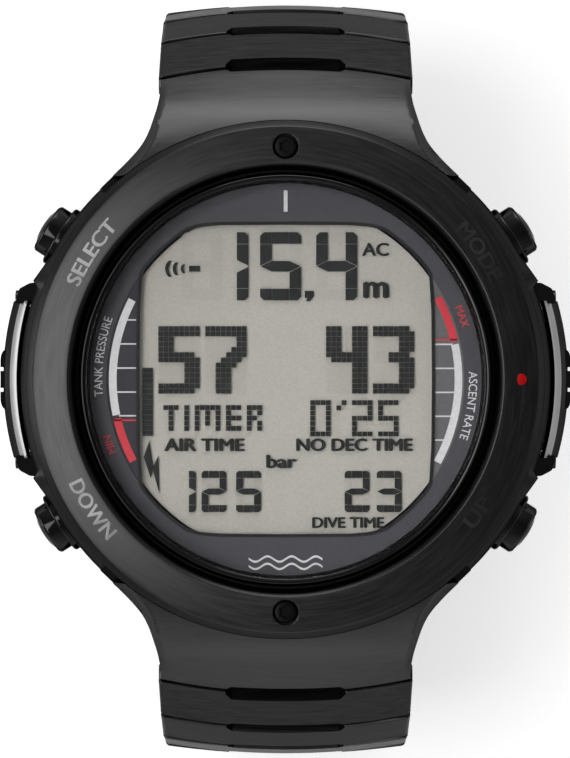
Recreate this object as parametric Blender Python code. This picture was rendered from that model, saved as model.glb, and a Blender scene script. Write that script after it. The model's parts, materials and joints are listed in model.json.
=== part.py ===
"""Wrist-worn dive computer in black steel, on a link bracelet with a fold-over clasp.

The watch stands on the flat outer face of its closed clasp, face up: +Z is out of the
dial, +Y is 12 o'clock and +X is 3 o'clock.  The design is written and modelled in
millimetres, and the finished objects are scaled to metres at the end.
"""

import math

import bmesh
import bpy
from mathutils import Matrix, Vector

MM = 0.001

# ---------------------------------------------------------------- driving dimensions, mm
GAP = 0.3                     # room between two pieces that touch
FINE = 48                     # sides of a large turned piece
COARSE = 10                   # sides of a pin, screw or bore

BEZEL_R = 24.75               # the bezel's outer radius
BEZEL_TOP = 14.6              # heights are above the case back's outer face
CASE_R = 25.5
CASE_TOP = 11.7
CASE_FLOOR = 2.0
CAVITY_R = 17.3
END_LINK_SEAT_R = 24.6        # the case wall behind an end link
END_LINK_FROM = 46.0          # degrees: where the end link's wing meets the case
CRYSTAL_R = 18.75
CRYSTAL_TOP = 14.8
DIAL_R = 18.6
WINDOW_HALF = (13.9, 14.7)    # half width and half height of the display window
WINDOW_CORNER_R = 16.95       # its corners follow this circle

PUSHER_ANGLES = {"mode": 32.5, "select": 147.5, "down": 212.5, "up": -32.5}
PUSHER_Z = 6.9
PUSHER_R = 2.5
PUSHER_TIP = 27.9
COLLAR_R = 3.07
COLLAR_FACE = 26.06

SIDE_PLATE_R = (CASE_R + GAP, 27.0)
SIDE_PLATE_HALF_Y = 9.1
SIDE_SCREW_Y = 7.7
BEZEL_SCREW_R = 22.16
BACK_SCREW_R = 18.7

PITCH = 8.0                   # hinge to hinge along the bracelet
LINK_HALF_W = 12.35
LINK_OUT = 2.4                # hinge axis to the outer face, at the middle
LINK_IN = 1.6                 # hinge axis to the inner face
CROWN = 1.02                  # how much lower the outer face is at its sides
BOW = 0.85                    # how far a seam's ends lie back towards the case
SEAM_BEFORE_AXIS = 0.35
SEAM_GAP = 0.12               # between two links lying straight
KNUCKLE_R = 1.0
TONGUE_R = 0.95
TONGUE_HALF_W = 5.55
SLOT_HALF_W = 5.85
PIN_R = 0.45
PIN_HOLE_R = 0.62
END_LINK_TILT = 50.0          # degrees below level where link 1 is hung
LINK_TILTS = (62.0, 72.0, 81.0, 93.0, 112.0, 133.0)
FIRST_HINGE = (28.745, 4.565)  # y and z of link 1's hinge, from the case back
LUG_PIN = (25.4, 7.6)

CLASP_HALF_W = 12.0
CLASP_WALL = 1.2
CLASP_PLATE = 1.0
CLASP_DEPTH = 2.4             # the clasp's hinge to the edge of its walls
NARROW_FROM, NARROW_TO = 38.7, 51.1
NARROW_HALF_W = 10.5
NARROW_FLOOR = 0.4
BLADE_HALF_W = 8.6
BLADE_AXIS = (48.6, -0.3)     # along and out from the clasp's hinge on link 6
FOLD_AXIS = (6.0, -0.95)
BLADE_B_LEVEL = -1.6
LOCK_AXIS = (50.2, 0.2)


def hinge_places():
    """The y and z of each hinge of one half of the bracelet, and where link 6 ends."""
    y, z = FIRST_HINGE
    places = [(y, z)]
    for tilt in LINK_TILTS:
        y += PITCH * math.cos(math.radians(tilt))
        z -= PITCH * math.sin(math.radians(tilt))
        places.append((y, z))
    return places


HINGES = hinge_places()
HEAD_Z = LINK_OUT - HINGES[-1][1]   # the case back's height above the clasp's outer face
CLASP_REACH = 2 * HINGES[-1][0]     # from the clasp's hinge to the free half's last axis


# ---------------------------------------------------------------- materials
def finish(name, colour, metallic, roughness):
    made = bpy.data.materials.new(name)
    made.use_nodes = True
    shader = made.node_tree.nodes["Principled BSDF"]
    shader.inputs["Base Color"].default_value = (*colour, 1.0)
    shader.inputs["Metallic"].default_value = metallic
    shader.inputs["Roughness"].default_value = roughness
    made.diffuse_color = (*colour, 1.0)
    return made


FINISHES = {
    "black_brushed_steel": ((0.045, 0.045, 0.048), 1.0, 0.38),
    "black_polished_steel": ((0.030, 0.030, 0.032), 1.0, 0.16),
    "bright_steel": ((0.62, 0.62, 0.64), 1.0, 0.25),
    "black_seal": ((0.012, 0.012, 0.012), 0.0, 0.75),
    "clear_crystal": ((0.92, 0.94, 0.95), 0.0, 0.03),
    "dial_grey": ((0.070, 0.068, 0.080), 0.0, 0.55),
    "display_grey": ((0.46, 0.45, 0.40), 0.0, 0.45),
    "module_plastic": ((0.10, 0.10, 0.11), 0.0, 0.5),
    "board_green": ((0.020, 0.120, 0.055), 0.0, 0.45),
    "brass": ((0.55, 0.38, 0.14), 1.0, 0.35),
}


# ---------------------------------------------------------------- solids
def solid(name, points, faces, paint):
    """A closed body from millimetre points, its faces turned outwards."""
    mesh = bpy.data.meshes.new(name)
    form = bmesh.new()
    corners = [form.verts.new(p) for p in points]
    for face in faces:
        form.faces.new([corners[i] for i in face])
    bmesh.ops.connect_verts_nonplanar(form, angle_limit=0.0001, faces=form.faces)
    bmesh.ops.recalc_face_normals(form, faces=form.faces)
    form.to_mesh(mesh)
    form.free()
    made = bpy.data.objects.new(name, mesh)
    bpy.context.scene.collection.objects.link(made)
    mesh.materials.append(paint)
    return made


def loft(name, rings, paint, closed=False):
    """A body through equal rings of points; both ends are capped unless it closes."""
    count = len(rings[0])
    points = [p for ring in rings for p in ring]
    faces = []
    spans = len(rings) if closed else len(rings) - 1
    for i in range(spans):
        a = i * count
        b = (i + 1) % len(rings) * count
        for j in range(count):
            k = (j + 1) % count
            faces.append((a + j, a + k, b + k, b + j))
    if not closed:
        faces.append(tuple(range(count)))
        faces.append(tuple(range(len(points) - count, len(points))))
    return solid(name, points, faces, paint)


def turned(name, section, paint, sides=FINE, hole=True):
    """A section of (radius, height) turned about Z; without a hole it has two poles."""
    rings = []
    for i in range(sides):
        a = 2 * math.pi * i / sides
        rings.append([(r * math.cos(a), r * math.sin(a), z) for r, z in section])
    if hole:
        return loft(name, rings, paint, closed=True)
    count = len(section)
    points = [(0, 0, section[0][1])] + [p for ring in rings for p in ring]
    points.append((0, 0, section[-1][1]))
    faces = []
    for i in range(sides):
        a = 1 + i * count
        b = 1 + (i + 1) % sides * count
        faces.append((0, a, b))
        faces.append((len(points) - 1, b + count - 1, a + count - 1))
        for j in range(count - 1):
            faces.append((a + j, a + j + 1, b + j + 1, b + j))
    return solid(name, points, faces, paint)


def prism(name, outline, low, high, paint):
    """An outline of (x, y) raised from one height to another."""
    rings = [[(x, y, z) for x, y in outline] for z in (low, high)]
    return loft(name, rings, paint)


def bar(name, outline, left, right, paint):
    """An outline of (y, z) drawn along X."""
    rings = [[(x, y, z) for y, z in outline] for x in (left, right)]
    return loft(name, rings, paint)


def circle(radius, sides, centre=(0.0, 0.0)):
    turn = [2 * math.pi * (i + 0.5) / sides for i in range(sides)]
    return [(centre[0] + radius * math.cos(a), centre[1] + radius * math.sin(a)) for a in turn]


def arc(radius, start, end, steps, centre=(0.0, 0.0)):
    turn = [math.radians(start + (end - start) * i / steps) for i in range(steps + 1)]
    return [(centre[0] + radius * math.cos(a), centre[1] + radius * math.sin(a)) for a in turn]


def box_outline(low, high):
    return [(low[0], low[1]), (high[0], low[1]), (high[0], high[1]), (low[0], high[1])]


def volume_if_closed(mesh):
    """A mesh's volume, or nothing when an edge has other than two faces."""
    form = bmesh.new()
    form.from_mesh(mesh)
    closed = all(len(edge.link_faces) == 2 for edge in form.edges)
    volume = form.calc_volume(signed=True) if closed else None
    form.free()
    return volume


def combine(target, tool, operation):
    """Work one body into another with a boolean, and drop the tool."""
    bpy.context.view_layer.update()
    body, other = volume_if_closed(target.data), volume_if_closed(tool.data)
    least, most = {
        "UNION": (max(body, other), body + other),
        "DIFFERENCE": (body - other, body),
        "INTERSECT": (0.0, min(body, other)),
    }[operation]
    change = target.modifiers.new("combine", "BOOLEAN")
    change.operation = operation
    change.object = tool
    for solver in ("EXACT", "MANIFOLD"):
        change.solver = solver
        graph = bpy.context.evaluated_depsgraph_get()
        mesh = bpy.data.meshes.new_from_object(target.evaluated_get(graph))
        volume = volume_if_closed(mesh)
        if volume is not None and least - 0.01 <= volume <= most + 0.01:
            break
    target.modifiers.clear()
    target.data = mesh
    bpy.data.objects.remove(tool, do_unlink=True)
    return target


def cut(target, tool):
    return combine(target, tool, "DIFFERENCE")


def fuse(target, tool):
    return combine(target, tool, "UNION")


def place(target, at=(0.0, 0.0, 0.0), turn=None, parent=None):
    target.location = at
    if turn:
        target.rotation_euler = [math.radians(a) for a in turn]
    target.parent = parent
    return target


def axis_empty(name, at=(0.0, 0.0, 0.0), turn=(0.0, 0.0, 0.0), parent=None):
    made = bpy.data.objects.new(name, None)
    bpy.context.scene.collection.objects.link(made)
    return place(made, at, turn, parent)


def shade(target, angle=35.0):
    target.data.shade_smooth()
    target.data.set_sharp_from_angle(angle=math.radians(angle))


def outward(angle):
    """The turn that lays local Z along a radius of the case."""
    return Matrix.Rotation(math.radians(angle), 4, "Z") @ Matrix.Rotation(math.pi / 2, 4, "Y")


def along_radius(target, angle, height):
    """Lay a piece made along Z out along a radius of the case, at a height."""
    target.matrix_world = Matrix.Translation((0, 0, height)) @ outward(angle)
    return target


# ---------------------------------------------------------------- case
def end_link_seat(paint, side):
    """The sector that an end link takes out of the case wall."""
    start = 90 * side - (90 - END_LINK_FROM) - 0.6
    end = 90 * side + (90 - END_LINK_FROM) + 0.6
    outline = arc(END_LINK_SEAT_R, start, end, 12) + arc(34, end, start, 4)
    return prism("seat", outline, -1, 20, paint)


def case_lug(paint, side):
    """The tongue on the case that an end link is pinned to."""
    y, z = LUG_PIN
    outline = [(22.6, z - 1.6)] + arc(1.6, -90, 90, 6, (y, z)) + [(22.6, z + 1.6)]
    return bar("lug", [(side * a, b) for a, b in outline], -7.5, 7.5, paint)


def mid_case(paint):
    section = [
        (CAVITY_R, CASE_FLOOR), (20.9, CASE_FLOOR), (20.9, 1.0), (23.6, 1.0), (CASE_R, 3.4),
        (CASE_R, 10.4), (24.9, CASE_TOP), (18.9, CASE_TOP), (18.9, 10.7), (CAVITY_R, 10.7),
    ]
    case = turned("mid_case", section, paint)
    for side in (1, -1):
        cut(case, end_link_seat(paint, side))
        fuse(case, case_lug(paint, side))
        y, z = LUG_PIN
        cut(case, bar("bore", circle(1.1, COARSE, (side * y, z)), -9, 9, paint))
    for angle in PUSHER_ANGLES.values():
        bore = [(1.25, 16.0), (1.25, 22.1), (COLLAR_R + GAP, 22.1), (COLLAR_R + GAP, 28.0)]
        cut(case, along_radius(turned("bore", bore, paint, 16, hole=False), angle, PUSHER_Z))
    for side in (1, -1):
        for y in (-SIDE_SCREW_Y, SIDE_SCREW_Y):
            cut(case, bar("bore", circle(0.75, 10, (y, PUSHER_Z)), side * 23.4, side * 27, paint))
        drill(case, [(0.75, 8.6), (0.75, 13)], (0, side * BEZEL_SCREW_R), paint)
    for spot in back_screw_spots():
        drill(case, [(0.75, 1), (0.75, 4.4)], spot, paint)
    cut(case, bar("bore", circle(2.4, 16, (0, PUSHER_Z)), -27, -16, paint))
    return case


def back_screw_spots():
    return arc(BACK_SCREW_R, 45, 315, 3)


def case_back(paint):
    section = [(18.2, 0), (20.2, 0.5), (20.6, 0.9), (20.6, 1.7)]
    back = turned("case_back", section, paint, hole=False)
    for spot in back_screw_spots():
        drill(back, [(1.5, -1), (1.5, 0.9), (0.8, 0.9), (0.8, 3)], spot, paint)
    return back


def drill(target, steps, spot, paint):
    """A stepped round hole along Z: steps are (radius, height) from one end to the other."""
    tool = turned("drill", steps, paint, COARSE, hole=False)
    tool.location = (*spot, 0)
    tool.rotation_euler.z = math.radians(7)
    return cut(target, tool)


def back_gasket(paint):
    section = box_outline((19.9, 1.75), (20.2, 1.95))
    return turned("back_gasket", section, paint, 32)


def bezel_ring(paint):
    section = [
        (20.0, 12.0), (24.3, 12.0), (BEZEL_R, 12.4), (BEZEL_R, 13.3), (24.1, 14.0),
        (20.73, BEZEL_TOP), (20.3, 14.1), (20.0, 13.8),
    ]
    ring = turned("bezel_ring", section, paint, sides=64)
    for side in (1, -1):
        steps = [(0.75, 11), (0.75, 13.0), (1.24, 13.0), (1.24, 16)]
        drill(ring, steps, (0, side * BEZEL_SCREW_R), paint)
    return ring


def crystal_parts(clear, metal, seal):
    section = [(18.4, 12.4), (CRYSTAL_R, 12.6), (CRYSTAL_R, 14.5), (18.4, CRYSTAL_TOP)]
    crystal = turned("crystal", section, clear, hole=False)
    section = [(19.05, 12.6), (19.7, 12.6), (19.7, 14.5), (19.3, 14.9), (19.05, 14.9)]
    ring = turned("crystal_ring", section, metal)
    gasket = turned("crystal_gasket", box_outline((19.05, 12.0), (19.7, 12.3)), seal, 32)
    return crystal, ring, gasket


# ---------------------------------------------------------------- display and module
def window_outline():
    """The display window: a rectangle whose corners follow a circle about the dial."""
    half_w, half_h = WINDOW_HALF
    low = math.degrees(math.acos((half_w - 0.3) / WINDOW_CORNER_R))
    high = math.degrees(math.asin((half_h - 0.25) / WINDOW_CORNER_R))
    quarter = [(half_w, 0), (half_w - 0.15, 7.6)]
    quarter += arc(WINDOW_CORNER_R, low, high, 4)
    quarter += [(6.5, half_h - 0.05)]
    right = quarter + [(0, half_h)]
    left = [(-x, y) for x, y in reversed(quarter)]
    upper = right + left
    lower = [(-x, -y) for x, y in upper[1:-1]]
    return upper + lower


def dial_parts(dial, display, plastic, board, metal, steel):
    mask = prism("dial_mask", circle(DIAL_R, FINE), 11.0, 11.6, dial)
    cut(mask, prism("window", window_outline(), 10, 13, dial))
    panel = prism("lcd_panel", circle(16.9, FINE), 10.05, 10.7, display)
    light = prism("backlight_plate", circle(16.4, 32), 9.35, 9.75, display)
    frame = turned("module_frame", box_outline((14.4, 2.3), (16.9, 9.05)), plastic, 32)
    circuit = prism("main_board", circle(14.0, 32), 8.35, 9.05, board)
    contact = turned("battery_contact", box_outline((4.2, 7.9), (7.4, 8.1)), metal, 16)
    section = [(11.9, 2.6), (12.25, 3.0), (12.25, 7.3), (11.5, 7.6)]
    cell = turned("battery", section, steel, 32, hole=False)
    buzzer = prism("buzzer", circle(7.0, 24), 1.95, 2.3, metal)
    section = [(2.1, -25.2), (2.1, -17.6), (1.5, -17.6)]
    sensor = turned("pressure_sensor", section, steel, 16, hole=False)
    along_radius(sensor, 0, PUSHER_Z)
    return mask, panel, light, frame, circuit, contact, cell, buzzer, sensor


# ---------------------------------------------------------------- fasteners
def screw(name, head_r, head_top, head_h, shank_r, length, paint):
    """A screw with its axis on Z, its head's top at head_top and its shank below."""
    neck = head_top - head_h
    section = [(shank_r, neck - length), (shank_r, neck), (head_r, neck), (head_r, head_top)]
    return turned(name, section, paint, COARSE, hole=False)


def fasteners(black, bright):
    made = []
    for hour, side in (("12", 1), ("6", -1)):
        bolt = screw("bezel_screw_" + hour, 0.94, 13.9, 0.6, 0.45, 3.6, black)
        made.append(place(bolt, (0, side * BEZEL_SCREW_R, 0)))
    for number, (x, y) in enumerate(back_screw_spots(), 1):
        bolt = screw(f"case_back_screw_{number}", 1.2, 0.0, 0.55, 0.5, 2.9, bright)
        made.append(place(bolt, (x, y, 0.15), (180, 0, 0)))
    for side, hand in ((1, "right"), (-1, "left")):
        for y, end in ((SIDE_SCREW_Y, "upper"), (-SIDE_SCREW_Y, "lower")):
            bolt = screw(f"side_plate_screw_{hand}_{end}", 0.95, 26.15, 0.75, 0.5, 1.6, black)
            made.append(place(bolt, (0, y, PUSHER_Z), (0, 90 * side, 0)))
    return made


# ---------------------------------------------------------------- side plates
def side_plate(name, paint, side):
    """The cover over the case's flank, screwed on at both ends."""
    inner, outer = SIDE_PLATE_R
    half = math.degrees(math.asin(SIDE_PLATE_HALF_Y / inner))
    rings = []
    for i in range(13):
        angle = -half + 2 * half * i / 12
        ease = 0.55 if i in (0, 12) else 0.0
        a = math.radians(angle)
        section = [
            (inner, 3.3), (outer - 0.9, 3.3), (outer - ease, 4.6), (outer - ease, 9.0),
            (26.35 - ease * 0.5, 9.95), (inner, 10.4),
        ]
        rings.append([(side * r * math.cos(a), r * math.sin(a), z) for r, z in section])
    plate = loft(name, rings, paint)
    block = prism("block", box_outline((side * 26.4, -2.8), (side * 27.2, 2.8)), 5.0, 8.8, paint)
    fuse(plate, block)
    for y in (SIDE_SCREW_Y, -SIDE_SCREW_Y):
        cut(plate, bar("bore", circle(1.22, COARSE, (y, PUSHER_Z)), side * 24, side * 28, paint))
    return plate


# ---------------------------------------------------------------- pushers
def pusher_set(label, angle, polished, spring_steel):
    """A button cap with its stem, the collar it slides in and the spring behind it."""
    axis = axis_empty("axis_" + label, (0, 0, PUSHER_Z))
    axis.rotation_euler = outward(angle).to_euler()
    cap_section = [
        (1.0, 18.4), (1.0, 25.2), (PUSHER_R, 25.2), (PUSHER_R, 27.25),
        (2.2, 27.5), (1.3, 27.8), (0.5, PUSHER_TIP),
    ]
    cap = turned("pusher_" + label, cap_section, polished, 14, hole=False)
    collar_section = [
        (1.25, 22.4), (COLLAR_R, 22.4), (COLLAR_R, COLLAR_FACE - 0.15), (COLLAR_R - 0.12, COLLAR_FACE),
        (2.65, COLLAR_FACE), (2.65, 22.8), (1.25, 22.8),
    ]
    collar = turned("pusher_collar_" + label, collar_section, polished, 14)
    spring = coil_spring("pusher_spring_" + label, spring_steel)
    for piece in (cap, collar, spring):
        place(piece, parent=axis)
    return cap, collar, spring


def coil_spring(name, paint, turns=3, steps=8, radius=1.85, wire=0.2, low=23.2, high=24.9):
    rings = []
    for i in range(turns * steps + 1):
        a = 2 * math.pi * i / steps
        rise = low + (high - low) * i / (turns * steps)
        ring = []
        for k in range(5):
            b = 2 * math.pi * k / 5
            r = radius + wire * math.cos(b)
            ring.append((r * math.cos(a), r * math.sin(a), rise + wire * math.sin(b)))
        rings.append(ring)
    return loft(name, rings, paint)


# ---------------------------------------------------------------- bracelet
def bow(x):
    """How far back a seam lies at a distance from the middle of the bracelet."""
    return BOW * (x / LINK_HALF_W) ** 2


def outer(x):
    return LINK_OUT - CROWN * (x / LINK_HALF_W) ** 2


STATIONS = (-12.35, -9.6, -4.8, 0.0, 4.8, 9.6, 12.35)
LIP = KNUCKLE_R + SEAM_GAP    # under side of the lip that covers the next knuckle
START = -SEAM_BEFORE_AXIS + SEAM_GAP / 2
END = -SEAM_BEFORE_AXIS - SEAM_GAP / 2
RECESS = -1.4                 # the hollow that the next knuckle turns in


def link_section(x):
    """A link's side view (v along the bracelet, n out of it), from its own hinge."""
    knuckle = arc(KNUCKLE_R, 120, 240, 3)
    return [
        (START - bow(x), outer(x)), (START - bow(x), LIP), *knuckle,
        (0.9, -LINK_IN), (PITCH + RECESS, -LINK_IN), (PITCH + RECESS, LIP),
        (PITCH + END - bow(x), LIP), (PITCH + END - bow(x), outer(x)),
    ]


def tongue(paint, axis_v, pin_half):
    """The knuckle between the next piece's arms, with its hinge pin's ends."""
    outline = [(axis_v - 1.9, TONGUE_R), (axis_v - 1.9, -TONGUE_R)]
    outline += arc(TONGUE_R, -90, 90, 4, (axis_v, 0))
    made = bar("tongue", outline, -TONGUE_HALF_W, TONGUE_HALF_W, paint)
    if pin_half > TONGUE_HALF_W:
        fuse(made, bar("pin", circle(PIN_R, 8, (axis_v, 0)), -pin_half, pin_half, paint))
    return made


def link_mesh(name, paint, pin_half):
    """One solid link: two arms round its own hinge, and a tongue to the next."""
    link = loft(name, [[(x, v, n) for v, n in link_section(x)] for x in STATIONS], paint)
    cut(link, bar("notch", box_outline((-3, -3), (1.08, 4)), -SLOT_HALF_W, SLOT_HALF_W, paint))
    slot = box_outline((PITCH - SEAM_BEFORE_AXIS - 0.65, TONGUE_R + 0.1), (PITCH + 1, 4))
    cut(link, bar("slot", slot, -SLOT_HALF_W, SLOT_HALF_W, paint))
    cut(link, bar("bore", circle(PIN_HOLE_R, 8), -8.4, 8.4, paint))
    return fuse(link, tongue(paint, PITCH, pin_half))


def link_halves(paint):
    """Both halves of the bracelet, each link hung on the one before it."""
    made = []
    common = link_mesh("link_pattern", paint, 8.0)
    long_pin = link_mesh("link_pattern_last", paint, 11.5)
    no_pin = link_mesh("link_pattern_free", paint, 0.0)
    for hour, turn in (("12", 0.0), ("6", 180.0)):
        root = axis_empty("bracelet_" + hour, (0, 0, HEAD_Z), (0, 0, turn))
        parent, tilt = root, 0.0
        for number, next_tilt in enumerate(LINK_TILTS, 1):
            last = long_pin if hour == "12" else no_pin
            pattern = last if number == len(LINK_TILTS) else common
            link = bpy.data.objects.new(f"link_{hour}_{number}", pattern.data)
            bpy.context.scene.collection.objects.link(link)
            at = (0, *FIRST_HINGE) if parent is root else (0, PITCH, 0)
            place(link, at, (tilt - next_tilt, 0, 0), parent)
            parent, tilt = link, next_tilt
            made.append(link)
    for pattern in (common, long_pin, no_pin):
        bpy.data.objects.remove(pattern, do_unlink=True)
    return made


def end_link_outline():
    """Plan of an end link: parallel sides that flare to the case in a hollow curve."""
    half = [(12.35, 33), (12.2, 28.3), (12.3, 26.9), (12.6, 25.5), (13.2, 23.8), (13.9, 22.4),
            (15.2, 20.95), (16.5, 19.6), (17.7, 18.37), (16.5, 17.1)]
    return half + [(-x, y) for x, y in reversed(half)]


def end_link(name, paint, side):
    """The piece between the case and link 1, flush with both."""
    tilt = math.radians(END_LINK_TILT)
    along = Vector((math.cos(tilt), -math.sin(tilt)))
    out = Vector((math.sin(tilt), math.cos(tilt)))
    hinge = Vector(FIRST_HINGE)

    def spot(v, n):
        return tuple(hinge + along * v + out * n)

    def section(x):
        drop = CROWN * (x / LINK_HALF_W) ** 2
        edge = min(abs(x), LINK_HALF_W)
        lip = END - bow(edge)
        return [
            (16.0, 13.9 - drop), (21.0, 13.1 - drop), (25.05, 11.45 - drop), (27.9, 9.25 - drop),
            spot(lip, outer(edge)), spot(lip, LIP), spot(RECESS, LIP), spot(RECESS, -LINK_IN),
            (25.2, 2.9), (16.0, 2.9),
        ]

    stations = (-18.0,) + STATIONS + (18.0,)
    link = loft(name, [[(x, y, z) for y, z in section(x)] for x in stations], paint)
    combine(link, prism("plan", end_link_outline(), 0, 20, paint), "INTERSECT")
    cut(link, prism("bezel", circle(BEZEL_R + GAP, 64), 0, 20, paint))
    y, z = LUG_PIN
    pocket = [(20.0, z - 1.9)] + arc(1.9, -90, 90, 6, (y, z)) + [(20.0, z + 1.9)]
    cut(link, bar("pocket", pocket, -7.8, 7.8, paint))
    cut(link, bar("bore", circle(1.1, COARSE, LUG_PIN), -15, 15, paint))
    slot = bar("slot", box_outline((-SEAM_BEFORE_AXIS - 0.65, TONGUE_R + 0.1), (1, 4)),
               -SLOT_HALF_W, SLOT_HALF_W, paint)
    place(slot, (0, *FIRST_HINGE), (-END_LINK_TILT, 0, 0))
    cut(link, slot)
    knuckle = tongue(paint, 0.0, 8.0)
    place(knuckle, (0, *FIRST_HINGE), (-END_LINK_TILT, 0, 0))
    fuse(link, knuckle)
    return place(link, (0, 0, HEAD_Z), (0, 0, 0 if side > 0 else 180))


def lug_pin(name, paint, side):
    y, z = LUG_PIN
    pin = bar(name, circle(0.8, COARSE, (side * y, z)), -12.4, 12.4, paint)
    return place(pin, (0, 0, HEAD_Z))


# ---------------------------------------------------------------- clasp
def clasp_cover(paint, parent):
    """The clasp's outer channel, hung on the last link; its free end is narrower."""
    start = START - BOW * (CLASP_HALF_W / LINK_HALF_W) ** 2 + BOW
    outline = [
        (start, LINK_OUT), (start, LIP), *arc(KNUCKLE_R, 110, 250, 4), (0.9, -CLASP_DEPTH),
        (NARROW_FROM, -CLASP_DEPTH), (NARROW_FROM, LINK_OUT),
    ]
    cover = bar("clasp_cover", outline, -CLASP_HALF_W, CLASP_HALF_W, paint)
    narrow = box_outline((NARROW_FROM - 0.5, 0.2 - CLASP_DEPTH), (NARROW_TO, NARROW_FLOOR + 0.7))
    fuse(cover, bar("narrow", narrow, -NARROW_HALF_W, NARROW_HALF_W, paint))
    inside = CLASP_HALF_W - CLASP_WALL
    ceiling = LINK_OUT - CLASP_PLATE
    hollow = [
        (-3, 1.2), (1.6, 1.2), (2.4, ceiling), (NARROW_FROM - 1.6, ceiling),
        (NARROW_FROM - 0.8, NARROW_FLOOR), (NARROW_FROM - 0.8, -4), (-3, -4),
    ]
    cut(cover, bar("hollow", hollow, -inside, inside, paint))
    tight = box_outline((NARROW_FROM - 2, -4), (NARROW_TO + 2, NARROW_FLOOR))
    cut(cover, bar("hollow", tight, CLASP_WALL - NARROW_HALF_W, NARROW_HALF_W - CLASP_WALL, paint))
    cut(cover, bar("mouth", box_outline((-3, -4), (1.2, 4)), -inside, inside, paint))
    cut(cover, bar("bore", circle(PIN_HOLE_R, 8), -11.8, 11.8, paint))
    for spot in (BLADE_AXIS, LOCK_AXIS):
        cut(cover, bar("bore", circle(0.6, 8, spot), -14, 14, paint))
    return place(cover, (0, PITCH, 0), (LINK_TILTS[-1] - 180, 0, 0), parent)


def blade_a(paint, parent):
    """The first folding blade: hinged inside the cover's narrow end."""
    v, n = BLADE_AXIS
    fold_v = FOLD_AXIS[0] - v
    low, high = -0.4, 0.4
    blade = bar("clasp_blade_a", box_outline((fold_v + 0.5, low), (-0.3, high)),
                -BLADE_HALF_W, BLADE_HALF_W, paint)
    for side in (1, -1):
        ends = sorted((side * 3.0, side * 12.0))
        cut(blade, bar("gap", box_outline((fold_v - 2, -3), (fold_v + 1.6, 3)), *ends, paint))
    fuse(blade, bar("barrel", circle(0.68, 8), -BLADE_HALF_W, BLADE_HALF_W, paint))
    fuse(blade, bar("pin", circle(0.4, 8), -10.0, 10.0, paint))
    fold = (fold_v, FOLD_AXIS[1] - n)
    fuse(blade, bar("barrel", circle(0.95, COARSE, fold), -2.95, 2.95, paint))
    fuse(blade, bar("pin", circle(0.4, 8, fold), -5.4, 5.4, paint))
    return place(blade, (0, v, n), parent=parent)


def blade_b(paint, parent):
    """The second blade: folds back over the first, its ears beside the last link's tongue."""
    reach = CLASP_REACH - FOLD_AXIS[0]
    level = BLADE_B_LEVEL - FOLD_AXIS[1]
    outline = [
        (0.3, level - 0.4), (reach - 2.6, level - 0.4), (reach - 0.6, -0.6), (reach - 0.6, 1.6),
        (reach - 1.4, 1.6), (reach - 3.2, level + 0.4), (0.3, level + 0.4),
    ]
    blade = bar("clasp_blade_b", outline, -BLADE_HALF_W, BLADE_HALF_W, paint)
    notch = box_outline((reach - 3.3, -4), (reach + 1, 4))
    cut(blade, bar("notch", notch, -SLOT_HALF_W, SLOT_HALF_W, paint))
    cut(blade, bar("notch", box_outline((-2, -4), (1.5, 4)), -3.3, 3.3, paint))
    for side in (1, -1):
        ends = sorted((side * 3.35, side * BLADE_HALF_W))
        fuse(blade, bar("barrel", circle(0.95, COARSE), *ends, paint))
        ends = sorted((side * 3.0, side * 5.9))
        cut(blade, bar("bore", circle(0.6, 8), *ends, paint))
    offset = (0, FOLD_AXIS[0] - BLADE_AXIS[0], FOLD_AXIS[1] - BLADE_AXIS[1])
    return place(blade, offset, parent=parent)


def safety_lock(paint, parent):
    """The catch that folds over the cover's narrow end from outside."""
    v, n = LOCK_AXIS
    plate = (LINK_OUT - 0.1 - n, NARROW_FLOOR + 0.8 + GAP - n)
    free = NARROW_FROM + 0.25 - v
    side_view = [
        (free, plate[0]), (free, -1.0), (-2.2, -1.0), *arc(1.0, 240, 420, 6), (-1.2, plate[0]),
    ]
    lock = bar("safety_lock", side_view, -CLASP_HALF_W, CLASP_HALF_W, paint)
    inside = NARROW_HALF_W + GAP
    cut(lock, bar("hollow", box_outline((free - 2, -3), (3, plate[1])), -inside, inside, paint))
    for side in (1, -1):
        ends = sorted((side * 9.9, side * 11.4))
        fuse(lock, bar("pin", circle(0.4, 8), *ends, paint))
    return place(lock, (0, v, n), parent=parent)


def to_metres():
    """Scale every mesh and every object's place from millimetres to metres."""
    for mesh in {item.data for item in bpy.data.objects if item.type == "MESH"}:
        mesh.transform(Matrix.Scale(MM, 4))
    for item in bpy.data.objects:
        item.location *= MM
    bpy.context.view_layer.update()


def main():
    for item in list(bpy.data.objects):
        bpy.data.objects.remove(item, do_unlink=True)
    paint = {name: finish(name, *values) for name, values in FINISHES.items()}
    brushed = paint["black_brushed_steel"]
    polished = paint["black_polished_steel"]
    bright = paint["bright_steel"]

    head = [mid_case(brushed), case_back(brushed), back_gasket(paint["black_seal"]), bezel_ring(brushed)]
    head += crystal_parts(paint["clear_crystal"], polished, paint["black_seal"])
    head += dial_parts(paint["dial_grey"], paint["display_grey"], paint["module_plastic"],
                       paint["board_green"], paint["brass"], bright)
    head += fasteners(polished, bright)
    head += [side_plate("side_plate_right", polished, 1), side_plate("side_plate_left", polished, -1)]
    for piece in head:
        piece.location.z += HEAD_Z
    for label, angle in PUSHER_ANGLES.items():
        pieces = pusher_set(label, angle, polished, bright)
        pieces[0].parent.location.z += HEAD_Z
    for hour, side in (("12", 1), ("6", -1)):
        end_link("end_link_" + hour, brushed, side)
        lug_pin("lug_pin_" + hour, bright, side)
    links = link_halves(brushed)
    last_12 = next(link for link in links if link.name == f"link_12_{len(LINK_TILTS)}")
    cover = clasp_cover(brushed, last_12)
    blade_b(polished, blade_a(polished, cover))
    safety_lock(brushed, cover)
    to_metres()
    for item in bpy.data.objects:
        if item.type == "MESH":
            shade(item)


main()
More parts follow.
